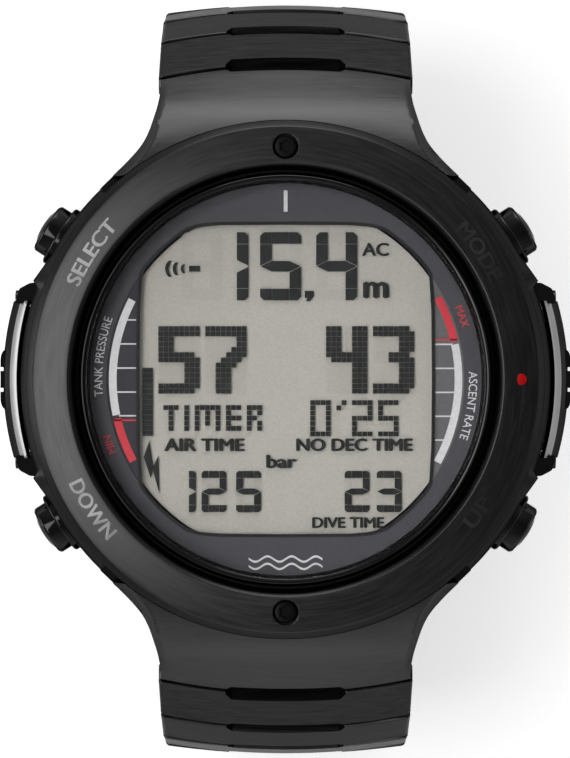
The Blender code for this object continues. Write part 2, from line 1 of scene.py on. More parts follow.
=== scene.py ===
"""Looks for the wrist dive computer: fine meshes, printed dial, display and finishes.

Every piece is drawn in millimetres in the frame's own axes (+Z out of the dial, +Y 12 o'clock,
+X 3 o'clock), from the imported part's boxes and hinges, and is turned into metres at the end.
"""
import json
from math import acos, asin, cos, degrees, hypot, pi, radians, sin, sqrt

import bmesh
import bpy
from mathutils import Matrix, Vector


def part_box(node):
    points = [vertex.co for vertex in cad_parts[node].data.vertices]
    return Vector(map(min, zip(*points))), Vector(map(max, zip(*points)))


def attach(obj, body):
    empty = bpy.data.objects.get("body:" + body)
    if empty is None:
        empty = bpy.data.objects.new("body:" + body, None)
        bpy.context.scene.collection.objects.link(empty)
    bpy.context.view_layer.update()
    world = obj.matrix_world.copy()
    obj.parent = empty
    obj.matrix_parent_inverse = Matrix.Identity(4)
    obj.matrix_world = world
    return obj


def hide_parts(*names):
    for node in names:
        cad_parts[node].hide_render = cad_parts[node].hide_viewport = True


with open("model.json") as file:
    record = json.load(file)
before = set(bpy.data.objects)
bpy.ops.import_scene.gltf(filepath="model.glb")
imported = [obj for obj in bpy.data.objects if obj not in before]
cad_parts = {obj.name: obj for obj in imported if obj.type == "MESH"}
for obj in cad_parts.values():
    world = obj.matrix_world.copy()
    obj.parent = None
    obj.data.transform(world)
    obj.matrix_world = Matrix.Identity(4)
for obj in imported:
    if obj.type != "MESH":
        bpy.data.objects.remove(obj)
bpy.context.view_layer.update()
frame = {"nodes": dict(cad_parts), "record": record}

MM = 0.001
ROUND = 160                    # sides of a large turned piece
SMALL = 40                     # sides of a button or collar

LIE_ALONG_X = Matrix.Rotation(pi / 2, 4, "Y")    # carries what is drawn along Z to X

joints = {j["name"]: j for j in frame["record"]["behaviour"]["joints"]}
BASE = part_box("case_back")[0][2] / MM        # height of the case back's outer face


def place_of(joint):
    return Vector(joints[joint]["pos_m"]) / MM


# ---- driving dimensions, mm
BEZEL_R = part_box("bezel_ring")[1][0] / MM
BEZEL_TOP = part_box("bezel_ring")[1][2] / MM - BASE
CASE_R = 25.5
SEAT_R = 24.6                  # the case wall behind an end link
END_LINK_FROM = 46.0           # degrees: where the end link meets the case
CRYSTAL_R = 18.92
DIAL_R = 18.8
DIAL_TOP = 11.6                # heights are above the case back
PANEL_TOP = 10.7
SEGMENT_Z = 10.92
SCALE_DEPTH = 0.16              # how far the printed scales lie below the dial
DIAL_SCALE = 1.0075            # the dial lies deeper than the bezel, so it is drawn a little larger
PUSHER_Z = 6.9
PUSHERS = {"mode": 32.5, "select": 147.5, "down": 212.5, "up": -32.5}
HOURS = (("12", 1), ("6", -1))          # the bracelet's halves, and their sides along Y
BEZEL_SCREW_R = 22.16
BACK_SCREW_R = 18.7
SIDE_SCREW_Y = 7.7
LUG_PIN = (25.4, 7.6)

PITCH = 8.0
LINK_HALF_W = 12.35
LINK_OUT = 2.4
LINK_IN = 1.6
CROWN = 1.02
BOW = 0.85
SEAM = -0.35                   # where a seam lies along the bracelet, from its hinge
SEAM_GAP = 0.12
KNUCKLE_R = 1.0
TONGUE_R = 0.95
TONGUE_HALF_W = 5.2
SLOT_HALF_W = 5.85
FIRST_TILT = 50.0


# ---- materials
def node(tree, kind, *sources, operation=None, **inputs):
    """A new node, fed in order by sources and by name by inputs; a name has _ for a space."""
    made = tree.nodes.new("ShaderNode" + kind)
    if operation:
        made.operation = operation
    named = [(made.inputs[name.replace("_", " ")], source) for name, source in inputs.items()]
    for socket, source in [*zip(made.inputs, sources), *named]:
        if isinstance(source, bpy.types.NodeSocket):
            tree.links.new(source, socket)
        else:
            socket.default_value = source
    return made


def grey(value):
    return (value, value, value)


def new_paint(name, edge=None):
    """A new material; edge is how bright a metal's reflection stays at its rim."""
    paint = bpy.data.materials.new(name)
    paint.use_nodes = True
    tree = paint.node_tree
    shader = tree.nodes["Principled BSDF"]
    if edge is not None:
        shader.inputs["Metallic"].default_value = 1.0
        shader.inputs["Specular Tint"].default_value = (*grey(edge), 1.0)
    return paint, tree, shader


def ramp(tree, source, low, high, start=0.3, end=0.7):
    """A colour ramp between two greys or colours, fed by a socket."""
    made = node(tree, "ValToRGB", Fac=source)
    for element, place, colour in zip(made.color_ramp.elements, (start, end), (low, high)):
        element.position = place
        element.color = (*colour, 1.0)
    return made.outputs["Color"]


def noise(tree, vector, scale, detail):
    return node(tree, "TexNoise", Vector=vector, Scale=scale, Detail=detail).outputs["Fac"]


def object_place(tree, stretch=(1, 1, 1)):
    """Object coordinates, stretched: a small number draws the pattern out along that axis."""
    place = node(tree, "TexCoord").outputs["Object"]
    return node(tree, "Mapping", Vector=place, Scale=stretch).outputs["Vector"]


def ring_place(tree, radial, around):
    """Coordinates that run quickly along a radius and slowly round the Z axis."""
    place = node(tree, "TexCoord").outputs["Object"]
    flat = node(tree, "VectorMath", place, (1, 1, 0), operation="MULTIPLY").outputs["Vector"]
    length = node(tree, "VectorMath", flat, operation="LENGTH").outputs["Value"]
    heading = node(tree, "VectorMath", flat, operation="NORMALIZE").outputs["Vector"]
    slow = node(tree, "VectorMath", heading, operation="SCALE", Scale=around).outputs["Vector"]
    quick = node(tree, "Math", length, radial, operation="MULTIPLY").outputs["Value"]
    along = node(tree, "CombineXYZ", Z=quick).outputs["Vector"]
    return node(tree, "VectorMath", slow, along, operation="ADD").outputs["Vector"]


def varied(tree, shader, source, colour, share, rough):
    """Let a source vary a shader's colour by a share and its roughness between two values."""
    low, high = (tuple(c * (1 + way * share) for c in colour) for way in (-1, 1))
    tree.links.new(ramp(tree, source, low, high), shader.inputs["Base Color"])
    tree.links.new(ramp(tree, source, *(grey(r) for r in rough)), shader.inputs["Roughness"])


def bumped(tree, shader, height, strength, distance):
    bump = node(tree, "Bump", Strength=strength, Distance=distance, Height=height)
    tree.links.new(bump.outputs["Normal"], shader.inputs["Normal"])


def brushed(name, colour, rough, vector_of, grain=1.0, edge=0.42):
    """Coated metal with a fine directional grain that varies its colour and its gloss."""
    paint, tree, shader = new_paint(name, edge)
    fine = noise(tree, vector_of(tree), 1.0, 6.0)
    varied(tree, shader, fine, colour, 0.12, (rough - 0.06, rough + 0.06))
    bumped(tree, shader, fine, 0.10 * grain, 0.00002)
    return paint


def polished(name, colour, rough):
    """Glossy coated metal with faint smudges."""
    paint, tree, shader = new_paint(name, 0.4)
    smudge = noise(tree, object_place(tree), 260.0, 3.0)
    varied(tree, shader, smudge, colour, 0.06, (rough * 0.7, rough * 1.4))
    return paint


def matt(name, colour, rough, speck=0.06, scale=2500.0):
    """Printed or moulded plastic with a fine speckle."""
    paint, tree, shader = new_paint(name)
    shader.inputs["Specular IOR Level"].default_value = 0.15
    fine = noise(tree, object_place(tree), scale, 2.0)
    varied(tree, shader, fine, colour, speck, (rough - 0.05, rough + 0.05))
    bumped(tree, shader, fine, 0.05, 0.00001)
    return paint


def crystal_glass(name):
    """Clear crystal that lets lamps through to the dial."""
    paint, tree, shader = new_paint(name)
    for socket, value in (("Base Color", (1.0, 1.0, 1.0, 1.0)), ("Roughness", 0.0), ("IOR", 1.22),
                          ("Transmission Weight", 1.0)):
        shader.inputs[socket].default_value = value
    shadow = node(tree, "LightPath").outputs["Is Shadow Ray"]
    clear = node(tree, "BsdfTransparent").outputs["BSDF"]
    mixed = node(tree, "MixShader", shadow, shader.outputs["BSDF"], clear)
    tree.links.new(mixed.outputs["Shader"], tree.nodes["Material Output"].inputs["Surface"])
    return paint


def ring_grain(tree):
    return ring_place(tree, 3600.0, 6.0)


def cross_grain(tree):
    return object_place(tree, (160.0, 4500.0, 4500.0))


paints = {
    "bezel": brushed("bezel_brushed", (0.046, 0.046, 0.047), 0.34, ring_grain),
    "case": brushed("case_satin", (0.028, 0.028, 0.029), 0.36, ring_grain, 0.6, 0.3),
    # a darker copy of the bezel's metal for its outer sloped band: painted shade
    "slope": brushed("bezel_slope_painted_shade", (0.024, 0.024, 0.025), 0.34, ring_grain, edge=0.26),
    # a darker copy of the link metal for the end links' sloped feet by the case: painted shade
    "foot": brushed("end_link_foot", (0.017, 0.017, 0.018), 0.36, ring_grain, 0.6, 0.2),
    "link": brushed("link_brushed", (0.050, 0.050, 0.051), 0.34, cross_grain, edge=0.36),
    "gloss": polished("black_gloss", (0.026, 0.026, 0.027), 0.10),
    # near-black for the black bezel screws, and as painted shade for the gap at the dial's edge
    "groove": polished("black_screw_and_gap_shade", grey(0.012), 0.30),
    # a bright paint for the side plates' outward chamfer facet: a painted highlight
    "chamfer": polished("chamfer_painted_highlight", (0.23, 0.23, 0.233), 0.18),
    "label": polished("label_metal", grey(0.10), 0.25),
    "steel": brushed("bare_steel", (0.55, 0.55, 0.56), 0.28, cross_grain),
    "brass": brushed("brass_sheet", (0.60, 0.42, 0.17), 0.30, cross_grain),
    "dial": matt("dial_grey", (0.056, 0.055, 0.063), 0.55),
    "scale": matt("scale_grey", (0.032, 0.030, 0.037), 0.45),
    "scale_right": matt("scale_grey_light", (0.11, 0.108, 0.113), 0.45),
    # near-black for the display window's border and walls: painted shade at the window's edge
    "rim": matt("window_rim_painted_shade", (0.012, 0.013, 0.013), 0.6),
    "white": matt("print_white", (0.57, 0.57, 0.58), 0.5),
    "red": matt("print_red", (0.52, 0.040, 0.055), 0.5),
    "dot": matt("dot_red", (0.42, 0.0015, 0.0015), 0.35),
    "panel": matt("display_back", (0.378, 0.364, 0.329), 0.6, 0.06, 5200.0),
    "ghost": matt("display_ghost", (0.360, 0.346, 0.313), 0.6, 0.05, 5200.0),
    "ink": matt("display_ink", (0.014, 0.016, 0.015), 0.5),
    "rubber": matt("seal_rubber", grey(0.014), 0.75),
    "holder": matt("module_holder", (0.10, 0.10, 0.11), 0.5),
    "board": matt("circuit_board", (0.020, 0.120, 0.055), 0.40),
    "glass": crystal_glass("crystal_clear"),
}


# ---- mesh tools
def placed(name, data):
    """A new object in the scene."""
    made = bpy.data.objects.new(name, data)
    bpy.context.scene.collection.objects.link(made)
    return made


def solid(name, points, faces):
    """A closed mesh object from millimetre points, its faces turned outwards."""
    mesh = bpy.data.meshes.new(name)
    form = bmesh.new()
    corners = [form.verts.new(p) for p in points]
    for face in faces:
        form.faces.new([corners[i] for i in face])
    bmesh.ops.recalc_face_normals(form, faces=form.faces)
    form.to_mesh(mesh)
    form.free()
    return placed(name, mesh)


def loft(name, rings, closed=False):
    """A body through equal rings of points; both ends are capped unless it closes."""
    count = len(rings[0])
    points = [p for ring in rings for p in ring]
    faces = []
    for i in range(len(rings) if closed else len(rings) - 1):
        a = i * count
        b = (i + 1) % len(rings) * count
        for j in range(count):
            k = (j + 1) % count
            faces.append((a + j, a + k, b + k, b + j))
    if not closed:
        faces.append(tuple(range(count)))
        faces.append(tuple(range(len(points) - count, len(points))))
    return solid(name, points, faces)


def turned(name, section, sides=ROUND, hole=True, spread=None):
    """A section of (radius, height) turned about Z; spread changes a radius by its angle."""
    rings = []
    for i in range(sides):
        a = 2 * pi * i / sides
        ring = []
        for r, z in section:
            if spread:
                r = spread(r, degrees(a))
            ring.append((r * cos(a), r * sin(a), z))
        rings.append(ring)
    if hole:
        return loft(name, rings, closed=True)
    count = len(section)
    points = [(0, 0, section[0][1])] + [p for ring in rings for p in ring]
    points.append((0, 0, section[-1][1]))
    faces = []
    for i in range(sides):
        a = 1 + i * count
        b = 1 + (i + 1) % sides * count
        faces.append((0, a, b))
        faces.append((len(points) - 1, b + count - 1, a + count - 1))
        for j in range(count - 1):
            faces.append((a + j, a + j + 1, b + j + 1, b + j))
    return solid(name, points, faces)


def prism(name, outline, low, high):
    return loft(name, [[(x, y, z) for x, y in outline] for z in (low, high)])


def bar(name, outline, left, right):
    """An outline of (y, z) drawn along X."""
    return loft(name, [[(x, y, z) for y, z in outline] for x in (left, right)])


def arc(radius, start, end, steps, centre=(0.0, 0.0)):
    turn = [radians(start + (end - start) * i / steps) for i in range(steps + 1)]
    return [(centre[0] + radius * cos(a), centre[1] + radius * sin(a)) for a in turn]


def circle(radius, sides, centre=(0.0, 0.0)):
    return arc(radius, 0, 360 - 360 / sides, sides - 1, centre)


def box_outline(low, high):
    return [(low[0], low[1]), (high[0], low[1]), (high[0], high[1]), (low[0], high[1])]


def rounded(outline, radius, steps=4, open_ends=False):
    """The outline with its corners turned into short arcs."""
    made = []
    count = len(outline)
    for i, corner in enumerate(outline):
        if open_ends and i in (0, count - 1):
            made.append(corner)
            continue
        at = Vector(corner)
        before = Vector(outline[i - 1]) - at
        after = Vector(outline[(i + 1) % count]) - at
        reach = min(radius, 0.45 * before.length, 0.45 * after.length)
        start = at + before.normalized() * reach
        end = at + after.normalized() * reach
        for k in range(steps + 1):
            t = k / steps
            made.append(tuple((1 - t) ** 2 * start + 2 * t * (1 - t) * at + t * t * end))
    return made


def smooth_curve(points, steps):
    """A smooth curve through the points, as (x, y) pairs."""
    made = []
    last = len(points) - 1
    for i in range(last):
        p0 = Vector(points[max(i - 1, 0)])
        p1 = Vector(points[i])
        p2 = Vector(points[i + 1])
        p3 = Vector(points[min(i + 2, last)])
        for k in range(steps):
            t = k / steps
            spot = 2 * p1 + (p2 - p0) * t + (2 * p0 - 5 * p1 + 4 * p2 - p3) * t * t
            spot += (3 * p1 - p0 - 3 * p2 + p3) * t ** 3
            made.append(tuple(spot / 2))
    made.append(tuple(points[-1]))
    return made


def settled(target):
    """The object with its modifiers worked into its mesh."""
    graph = bpy.context.evaluated_depsgraph_get()
    mesh = bpy.data.meshes.new_from_object(target.evaluated_get(graph))
    target.modifiers.clear()
    target.data = mesh
    return target


def combine(target, tool, operation):
    change = target.modifiers.new("combine", "BOOLEAN")
    change.operation = operation
    change.object = tool
    change.solver = "EXACT"
    bpy.context.view_layer.update()
    settled(target)
    bpy.data.objects.remove(tool, do_unlink=True)
    return target


def cut(target, *tools):
    for tool in tools:
        combine(target, tool, "DIFFERENCE")
    return target


def fuse(target, *tools):
    for tool in tools:
        combine(target, tool, "UNION")
    return target


def softened(target, width, angle=40.0, segments=2):
    """Bevel every edge sharper than an angle."""
    change = target.modifiers.new("soften", "BEVEL")
    change.width = width
    change.segments = segments
    change.limit_method = "ANGLE"
    change.angle_limit = radians(angle)
    return settled(target)


def laid(tool, matrix):
    tool.data.transform(matrix)
    return tool


def moved(tool, *shift):
    return laid(tool, Matrix.Translation(shift))


def outward(angle, height=PUSHER_Z):
    """The place of a piece whose own Z lies along a radius of the case."""
    turn = Matrix.Rotation(radians(angle), 4, "Z") @ LIE_ALONG_X
    return Matrix.Translation((0, 0, height)) @ turn


def done(target, paint, replaced=None, body="head", lift=BASE, smooth=32.0):
    """Finish a piece: its paint, its size in metres, and the node and body that it belongs to."""
    if not target.data.materials:
        target.data.materials.append(paints[paint])
    target.data.transform(Matrix.Scale(MM, 4) @ Matrix.Translation((0, 0, lift)))
    target.data.shade_smooth()
    target.data.set_sharp_from_angle(angle=radians(smooth))
    even = target.modifiers.new("even", "WEIGHTED_NORMAL")
    even.keep_sharp = True
    settled(target)
    if replaced:
        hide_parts(replaced)
    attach(target, body)
    return target


def paint_faces(target, names, rule):
    """Give a mesh several paints; rule picks one by a face's normal and middle."""
    for name in names:
        target.data.materials.append(paints[name])
    for face in target.data.polygons:
        face.material_index = rule(face.normal, face.center)


# ---- case
def case_spread(radius, angle):
    """The case flares beside each end of the side plates."""
    beside = min(abs(angle), abs(angle - 180), abs(angle - 360))
    if radius < 25.0 or not 20.8 <= beside <= 28.0:
        return radius
    return radius + 0.62 * (1 - (beside - 20.8) / 7.2) ** 1.3


def end_link_seat(side):
    start = 90 * side - (90 - END_LINK_FROM) - 0.05
    end = 90 * side + (90 - END_LINK_FROM) + 0.05
    outline = arc(SEAT_R, start, end, 60) + arc(34, end, start, 8)
    return prism("seat", outline, -1, 20)


def lug_outline(start, radius):
    """A side view that runs from a place along Y to a round end about the lug's pin."""
    z = LUG_PIN[1]
    return [(start, z - radius)] + arc(radius, -90, 90, 12, LUG_PIN) + [(start, z + radius)]


def case_lug(side):
    return bar("lug", [(side * y, z) for y, z in lug_outline(22.6, 1.6)], -7.5, 7.5)


def build_case():
    section = rounded([
        (17.3, 2.0), (20.9, 2.0), (20.9, 1.0), (23.6, 1.0), (CASE_R, 3.4),
        (CASE_R, 10.6), (24.7, 11.7), (18.9, 11.7), (18.9, 10.7), (17.3, 10.7),
    ], 0.35)
    case = turned("case_middle", section, sides=ROUND * 2, spread=case_spread)
    for side in (1, -1):
        cut(case, end_link_seat(side))
        fuse(case, case_lug(side))
    for angle in PUSHERS.values():
        bore = [(1.25, 16.0), (1.25, 22.1), (3.15, 22.1), (3.15, 28.0)]
        cut(case, laid(turned("bore", bore, SMALL, hole=False), outward(angle)))
    return done(softened(case, 0.07), "case", "mid_case")


def build_back():
    section = rounded([(0.5, 0.12), (11.6, 0.12), (11.9, 0.0), (17.2, 0.0), (17.5, 0.12), (17.8, 0.0),
                       (18.4, 0.0), (20.2, 0.5), (20.6, 0.9), (20.6, 1.7)], 0.15, 3, True)
    back = turned("case_back_plate", section, hole=False)
    for x, y in arc(BACK_SCREW_R, 45, 315, 3):
        step = turned("step", [(1.5, -1), (1.5, 0.9), (0.8, 0.9), (0.8, 3)], 32, hole=False)
        cut(back, moved(step, x, y, 0))
    return done(softened(back, 0.05), "case", "case_back")


def bezel_height(radius):
    """The brushed top: a shallow crown that steepens towards its outer edge."""
    t = (24.1 - radius) / (24.1 - 20.73)
    return 14.0 + (BEZEL_TOP - 14.0) * (1.4 * t - 0.4 * t * t)


def build_bezel():
    crown = [(r, bezel_height(r)) for r in (24.1 - 3.37 * i / 8 for i in range(1, 8))]
    section = rounded([
        (20.02, 12.0), (24.3, 12.0), (BEZEL_R, 12.4), (BEZEL_R, 13.35), (24.1, 14.0), *crown,
        (20.73, BEZEL_TOP), (20.3, 14.26), (20.02, 13.7),
    ], 0.10, 3)
    ring = turned("bezel_body", section, sides=ROUND * 2)
    for side in (1, -1):
        step = turned("step", [(0.75, 11), (0.75, 13.0), (1.24, 13.0), (1.24, 16)], 48, hole=False)
        cut(ring, moved(step, 0, side * BEZEL_SCREW_R, 0))
    softened(ring, 0.06)
    # the outer sloped band, picked by its normal, gets the darker slope paint: painted shade
    paint_faces(ring, ("bezel", "slope"), lambda normal, middle: int(
        hypot(middle.x, middle.y) > 24.12 and 0.3 < normal.z < 0.85))
    return done(ring, "bezel", "bezel_ring")


def build_crystal():
    edge = [(0.5, 12.45), (CRYSTAL_R, 12.45), (CRYSTAL_R, 14.6), (0.5, 14.6)]
    glass = turned("crystal_pane", edge, hole=False)
    done(glass, "glass", "crystal", smooth=6.0)
    section = rounded([(18.95, 12.6), (19.72, 12.6), (19.72, 14.35), (19.35, 14.9), (18.95, 14.75)], 0.12)
    ring = turned("crystal_holder", section)
    done(ring, "gloss", "crystal_ring")
    seal = turned("crystal_seal", rounded(box_outline((19.05, 12.0), (19.7, 12.3)), 0.1))
    done(seal, "rubber", "crystal_gasket")
    # a near-black wall fills the gap at the dial's edge: painted shade
    wall = turned("dial_gap_painted_shade", rounded(box_outline((18.82, 11.4), (18.94, 12.36)), 0.04))
    done(wall, "groove")


# ---- fasteners
def lobed(radius, depth, count=6, steps=72):
    """The outline of a six-lobed driver recess."""
    made = []
    for i in range(steps):
        a = 2 * pi * i / steps
        r = radius - depth * (0.5 + 0.5 * cos(count * a)) ** 0.8
        made.append((r * cos(a), r * sin(a)))
    return made


def screw_mesh(name, head_r, head_h, shank_r, length, recess):
    """A screw with its head's top at zero, pointing up, and a lobed recess."""
    section = rounded([(head_r * 0.5, 0), (head_r, 0), (head_r, -head_h), (shank_r, -head_h),
                       (shank_r, -head_h - length)], 0.1, 3, True)
    made = turned(name, section, SMALL, hole=False)
    cut(made, prism("recess", lobed(recess, recess * 0.24), -head_h * 0.7, 1))
    return made


def build_fasteners():
    for hour, side in HOURS:
        bolt = screw_mesh("bezel_bolt_" + hour, 1.02, 0.6, 0.45, 3.0, 0.66)
        moved(bolt, 0, side * BEZEL_SCREW_R, 13.9)
        done(bolt, "groove", "bezel_screw_" + hour)
    for number, (x, y) in enumerate(arc(BACK_SCREW_R, 45, 315, 3), 1):
        bolt = screw_mesh(f"back_bolt_{number}", 1.2, 0.55, 0.5, 2.3, 0.75)
        laid(bolt, Matrix.Translation((x, y, 0.15)) @ Matrix.Rotation(pi, 4, "X"))
        done(bolt, "steel", f"case_back_screw_{number}")
    for side, hand in ((1, "right"), (-1, "left")):
        for y, end in ((SIDE_SCREW_Y, "upper"), (-SIDE_SCREW_Y, "lower")):
            bolt = screw_mesh(f"side_bolt_{hand}_{end}", 0.95, 0.75, 0.5, 0.9, 0.6)
            turn = Matrix.Rotation(side * pi / 2, 4, "Y")
            laid(bolt, Matrix.Translation((side * 26.15, y, PUSHER_Z)) @ turn)
            done(bolt, "gloss", f"side_plate_screw_{hand}_{end}")
    for hour, side in HOURS:
        y, z = LUG_PIN
        section = rounded([(0.4, -12.4), (0.8, -12.4), (0.8, 12.4), (0.4, 12.4)], 0.15, 3, True)
        pin = turned("lug_bar_" + hour, section, 24, hole=False)
        laid(pin, Matrix.Translation((0, side * y, z)) @ LIE_ALONG_X)
        done(pin, "gloss", "lug_pin_" + hour)


# ---- side plates
PLATE_HALF_Y = 7.55
PLATE_R = 26.58                # the outer edge of the chamfer that carries the painted highlight, at the middle


def plate_ring(side, y, section):
    """A section of (offset from the chamfer's edge, height) at a height up the dial."""
    edge = sqrt(27.6 ** 2 - y * y) - (27.6 - PLATE_R)
    return [(side * (edge + out), y, z) for out, z in section]


def build_side_plate(hand, side):
    section = rounded([(-1.05, 3.4), (-0.25, 3.4), (0.70, 4.7), (0.70, 8.6), (0.0, 9.55),
                       (-0.75, 10.45), (-1.05, 10.2)], 0.05, 2)
    rows = 40
    rings = []
    for i in range(rows + 1):
        y = -PLATE_HALF_Y + 2 * PLATE_HALF_Y * i / rows
        rings.append(plate_ring(side, y, section))
    plate = loft(f"side_cover_{hand}", rings)
    block = [(side * 26.3, -2.9), (side * 27.2, -2.9), (side * 27.5, -2.2), (side * 27.5, 2.2),
             (side * 27.2, 2.9), (side * 26.3, 2.9)]
    fuse(plate, prism("block", rounded(block, 0.35, 4), 4.9, 8.9))
    for y in (1.0, -1.0):
        notch = box_outline((side * 27.2, y - 0.18), (side * 27.8, y + 0.18))
        cut(plate, prism("notch", notch, 4, 10))
    for end in (1, -1):
        block = [(side * x, end * y) for x, y in
                 ((23.9, 7.3), (25.95, 7.3), (25.85, 8.0), (25.6, 8.75), (24.55, 9.3), (23.9, 9.3))]
        fuse(plate, prism("end", rounded(block, 0.2, 3), 4.0, 10.05))
        bore = circle(1.12, 32, (end * SIDE_SCREW_Y, PUSHER_Z))
        cut(plate, bar("bore", bore, *sorted((side * 24, side * 28))))
    softened(plate, 0.08)
    # the outward, upward facet of the chamfer takes the bright chamfer paint: a painted highlight
    paint_faces(plate, ("gloss", "chamfer"), lambda normal, middle: int(
        0.55 < normal.z < 0.75 and side * normal.x > 0.4 and abs(middle.y) < 7.4 and middle.z > 9.6))
    done(plate, "gloss", "side_plate_" + hand)


# ---- pushers
def build_pusher(label, angle):
    body = "pusher_" + label
    cap_section = rounded([(0.6, 18.4), (1.0, 18.4), (1.0, 25.2), (2.5, 25.2), (2.5, 27.2),
                           (2.28, 27.45), (2.1, 27.42), (1.3, 27.72), (0.4, 27.85)], 0.08, 3, True)
    cap = turned("button_" + label, cap_section, SMALL * 2, hole=False)
    done(laid(cap, outward(angle)), "gloss", body, body)
    collar_section = rounded([(1.25, 22.4), (3.07, 22.4), (3.07, 25.9), (2.92, 26.06), (2.68, 26.06),
                              (2.62, 25.95), (2.62, 22.8), (1.25, 22.8)], 0.08, 3)
    collar = turned("button_collar_" + label, collar_section, SMALL * 2)
    done(laid(collar, outward(angle)), "gloss", "pusher_collar_" + label)


# ---- dial and display
def window_outline(grow=0.0):
    """The display window: a rectangle whose corners follow a circle about the dial."""
    half_w, half_h, corner = 13.9 + grow, 14.7 + grow, 16.95 + grow
    low = degrees(acos((half_w - 0.28) / corner)) + 0.4
    high = degrees(asin((half_h - 0.28) / corner)) - 0.4
    quarter = [(half_w, 0), (half_w - 0.06, 6.6)]
    quarter.append((half_w - 0.26, corner * sin(radians(low)) - 0.3))
    quarter += arc(corner, low + 0.7, high - 1.5, 18)
    quarter += [(corner * cos(radians(high)) - 0.9, half_h - 0.2), (6.2, half_h - 0.04)]
    right = quarter + [(0, half_h)]
    upper = right + [(-x, y) for x, y in reversed(quarter)]
    whole = upper + [(-x, -y) for x, y in upper[1:-1]]
    return [(x * DIAL_SCALE, y * DIAL_SCALE) for x, y in rounded(whole, 0.5, 3)]


def scale_outline(side):
    """The shallow recess beside the window that holds a printed scale."""
    inner, radius = 13.98, 16.98
    reach = degrees(acos(inner / radius))
    outline = arc(radius, -reach, reach, 24)
    return [(side * x * DIAL_SCALE, y * DIAL_SCALE) for x, y in outline]


def build_dial():
    section = [(0.5, 11.0), (DIAL_R, 11.0), (DIAL_R, DIAL_TOP), (0.5, DIAL_TOP)]
    mask = turned("dial_plate", rounded(section, 0.05, 2, True), hole=False)
    cut(mask, prism("window", window_outline(), 10, 13))
    for side in (1, -1):
        cut(mask, prism("recess", scale_outline(side), DIAL_TOP - SCALE_DEPTH, 13))
    softened(mask, 0.05)
    # the walls of the window and of the recesses take the near-black rim paint: painted shade
    paint_faces(mask, ("dial", "rim", "scale", "scale_right"), dial_paint)
    done(mask, "dial", "dial_mask")
    panel = prism("display_panel", circle(16.9, 96), 10.05, PANEL_TOP)
    done(panel, "panel", "lcd_panel")
    # a near-black ring round the window: painted shade along its edge
    low, high = DIAL_TOP - 0.05, DIAL_TOP + 0.015
    border = prism("window_border_painted_shade", window_outline(0.3), low, high)
    cut(border, prism("window", window_outline(), low - 1, high + 1))
    done(border, "rim")


def dial_paint(normal, middle):
    # walls get the rim paint, which is painted shade
    if abs(normal.z) < 0.9:
        return 1
    if middle.z > DIAL_TOP - 0.05:
        return 0
    return 3 if middle.x > 0 else 2


def flat_piece(name, outlines, low, high, paint):
    """Several flat outlines raised into one piece, such as the strokes of a sign."""
    points = []
    faces = []
    for outline in outlines:
        start = len(points)
        count = len(outline)
        points += [(x * DIAL_SCALE, y * DIAL_SCALE, low) for x, y in outline]
        points += [(x * DIAL_SCALE, y * DIAL_SCALE, high) for x, y in outline]
        faces.append(tuple(range(start, start + count)))
        faces.append(tuple(range(start + count, start + 2 * count)))
        for i in range(count):
            k = (i + 1) % count
            faces.append((start + i, start + k, start + count + k, start + count + i))
    return done(solid(name, points, faces), paint)


def text_mesh(words):
    """Flat lettering as a mesh, its lowest left corner at zero, and its width and cap height."""
    font = bpy.data.curves.new("lettering", "FONT")
    font.body = words
    font.size = 1.0
    font.resolution_u = 4
    font.fill_mode = "FRONT"
    holder = placed("lettering", font)
    bpy.context.view_layer.update()
    graph = bpy.context.evaluated_depsgraph_get()
    mesh = bpy.data.meshes.new_from_object(holder.evaluated_get(graph))
    bpy.data.objects.remove(holder, do_unlink=True)
    xs = [v.co.x for v in mesh.vertices]
    ys = [v.co.y for v in mesh.vertices]
    low = Vector((min(xs), min(ys), 0))
    size = (max(xs) - low.x, max(ys) - low.y)
    mesh.transform(Matrix.Translation(-low))
    return mesh, size


def lettering(name, words, width, height, spot, paint, bold, thick=0.02):
    """Words that fill a width and a height; spot carries flat (x, y) to where they are printed.

    They are struck five times, each a little to one side and a hair lower than the last.
    """
    mesh, size = text_mesh(words)
    form = bmesh.new()
    rise = bold * 0.5
    for number, (aside, up) in enumerate(((0, 0), (bold, 0), (-bold, 0), (0, rise), (0, -rise))):
        shift = Matrix.Translation((aside, up, -0.12 * number))
        mesh.transform(shift)
        form.from_mesh(mesh)
        mesh.transform(shift.inverted())
    size = (size[0] + 2 * bold, size[1] + 2 * rise)
    bmesh.ops.remove_doubles(form, verts=form.verts, dist=0.0001)
    raised = bmesh.ops.extrude_face_region(form, geom=form.faces[:])
    for item in raised["geom"]:
        if isinstance(item, bmesh.types.BMVert):
            item.co.z += 1.0
    for vert in form.verts:
        x = (vert.co.x + bold) / size[0] * width - width / 2
        y = (vert.co.y + rise) / size[1] * height - height / 2
        base = spot(x, y)
        vert.co = Vector((base[0], base[1], base[2] + vert.co.z * thick))
    bmesh.ops.recalc_face_normals(form, faces=form.faces)
    form.to_mesh(mesh)
    form.free()
    mesh.materials.clear()
    return done(placed(name, mesh), paint)


def on_display(x, y):
    """Carries words about their middle to a place on the display."""
    return lambda u, v: ((x + u) * DIAL_SCALE, (y + v) * DIAL_SCALE, SEGMENT_Z)


def round_dial(radius, angle, clockwise, height_of):
    """Carries words to a ring: clockwise with their tops outwards, or the other way."""
    way = -1 if clockwise else 1

    def spot(u, v):
        a = radians(angle) + way * u / radius
        r = radius - way * v
        return (r * cos(a), r * sin(a), height_of(r))

    return spot


def label_height(radius):
    return bezel_height(radius) + 0.012


def dial_height(radius):
    return DIAL_TOP + 0.004


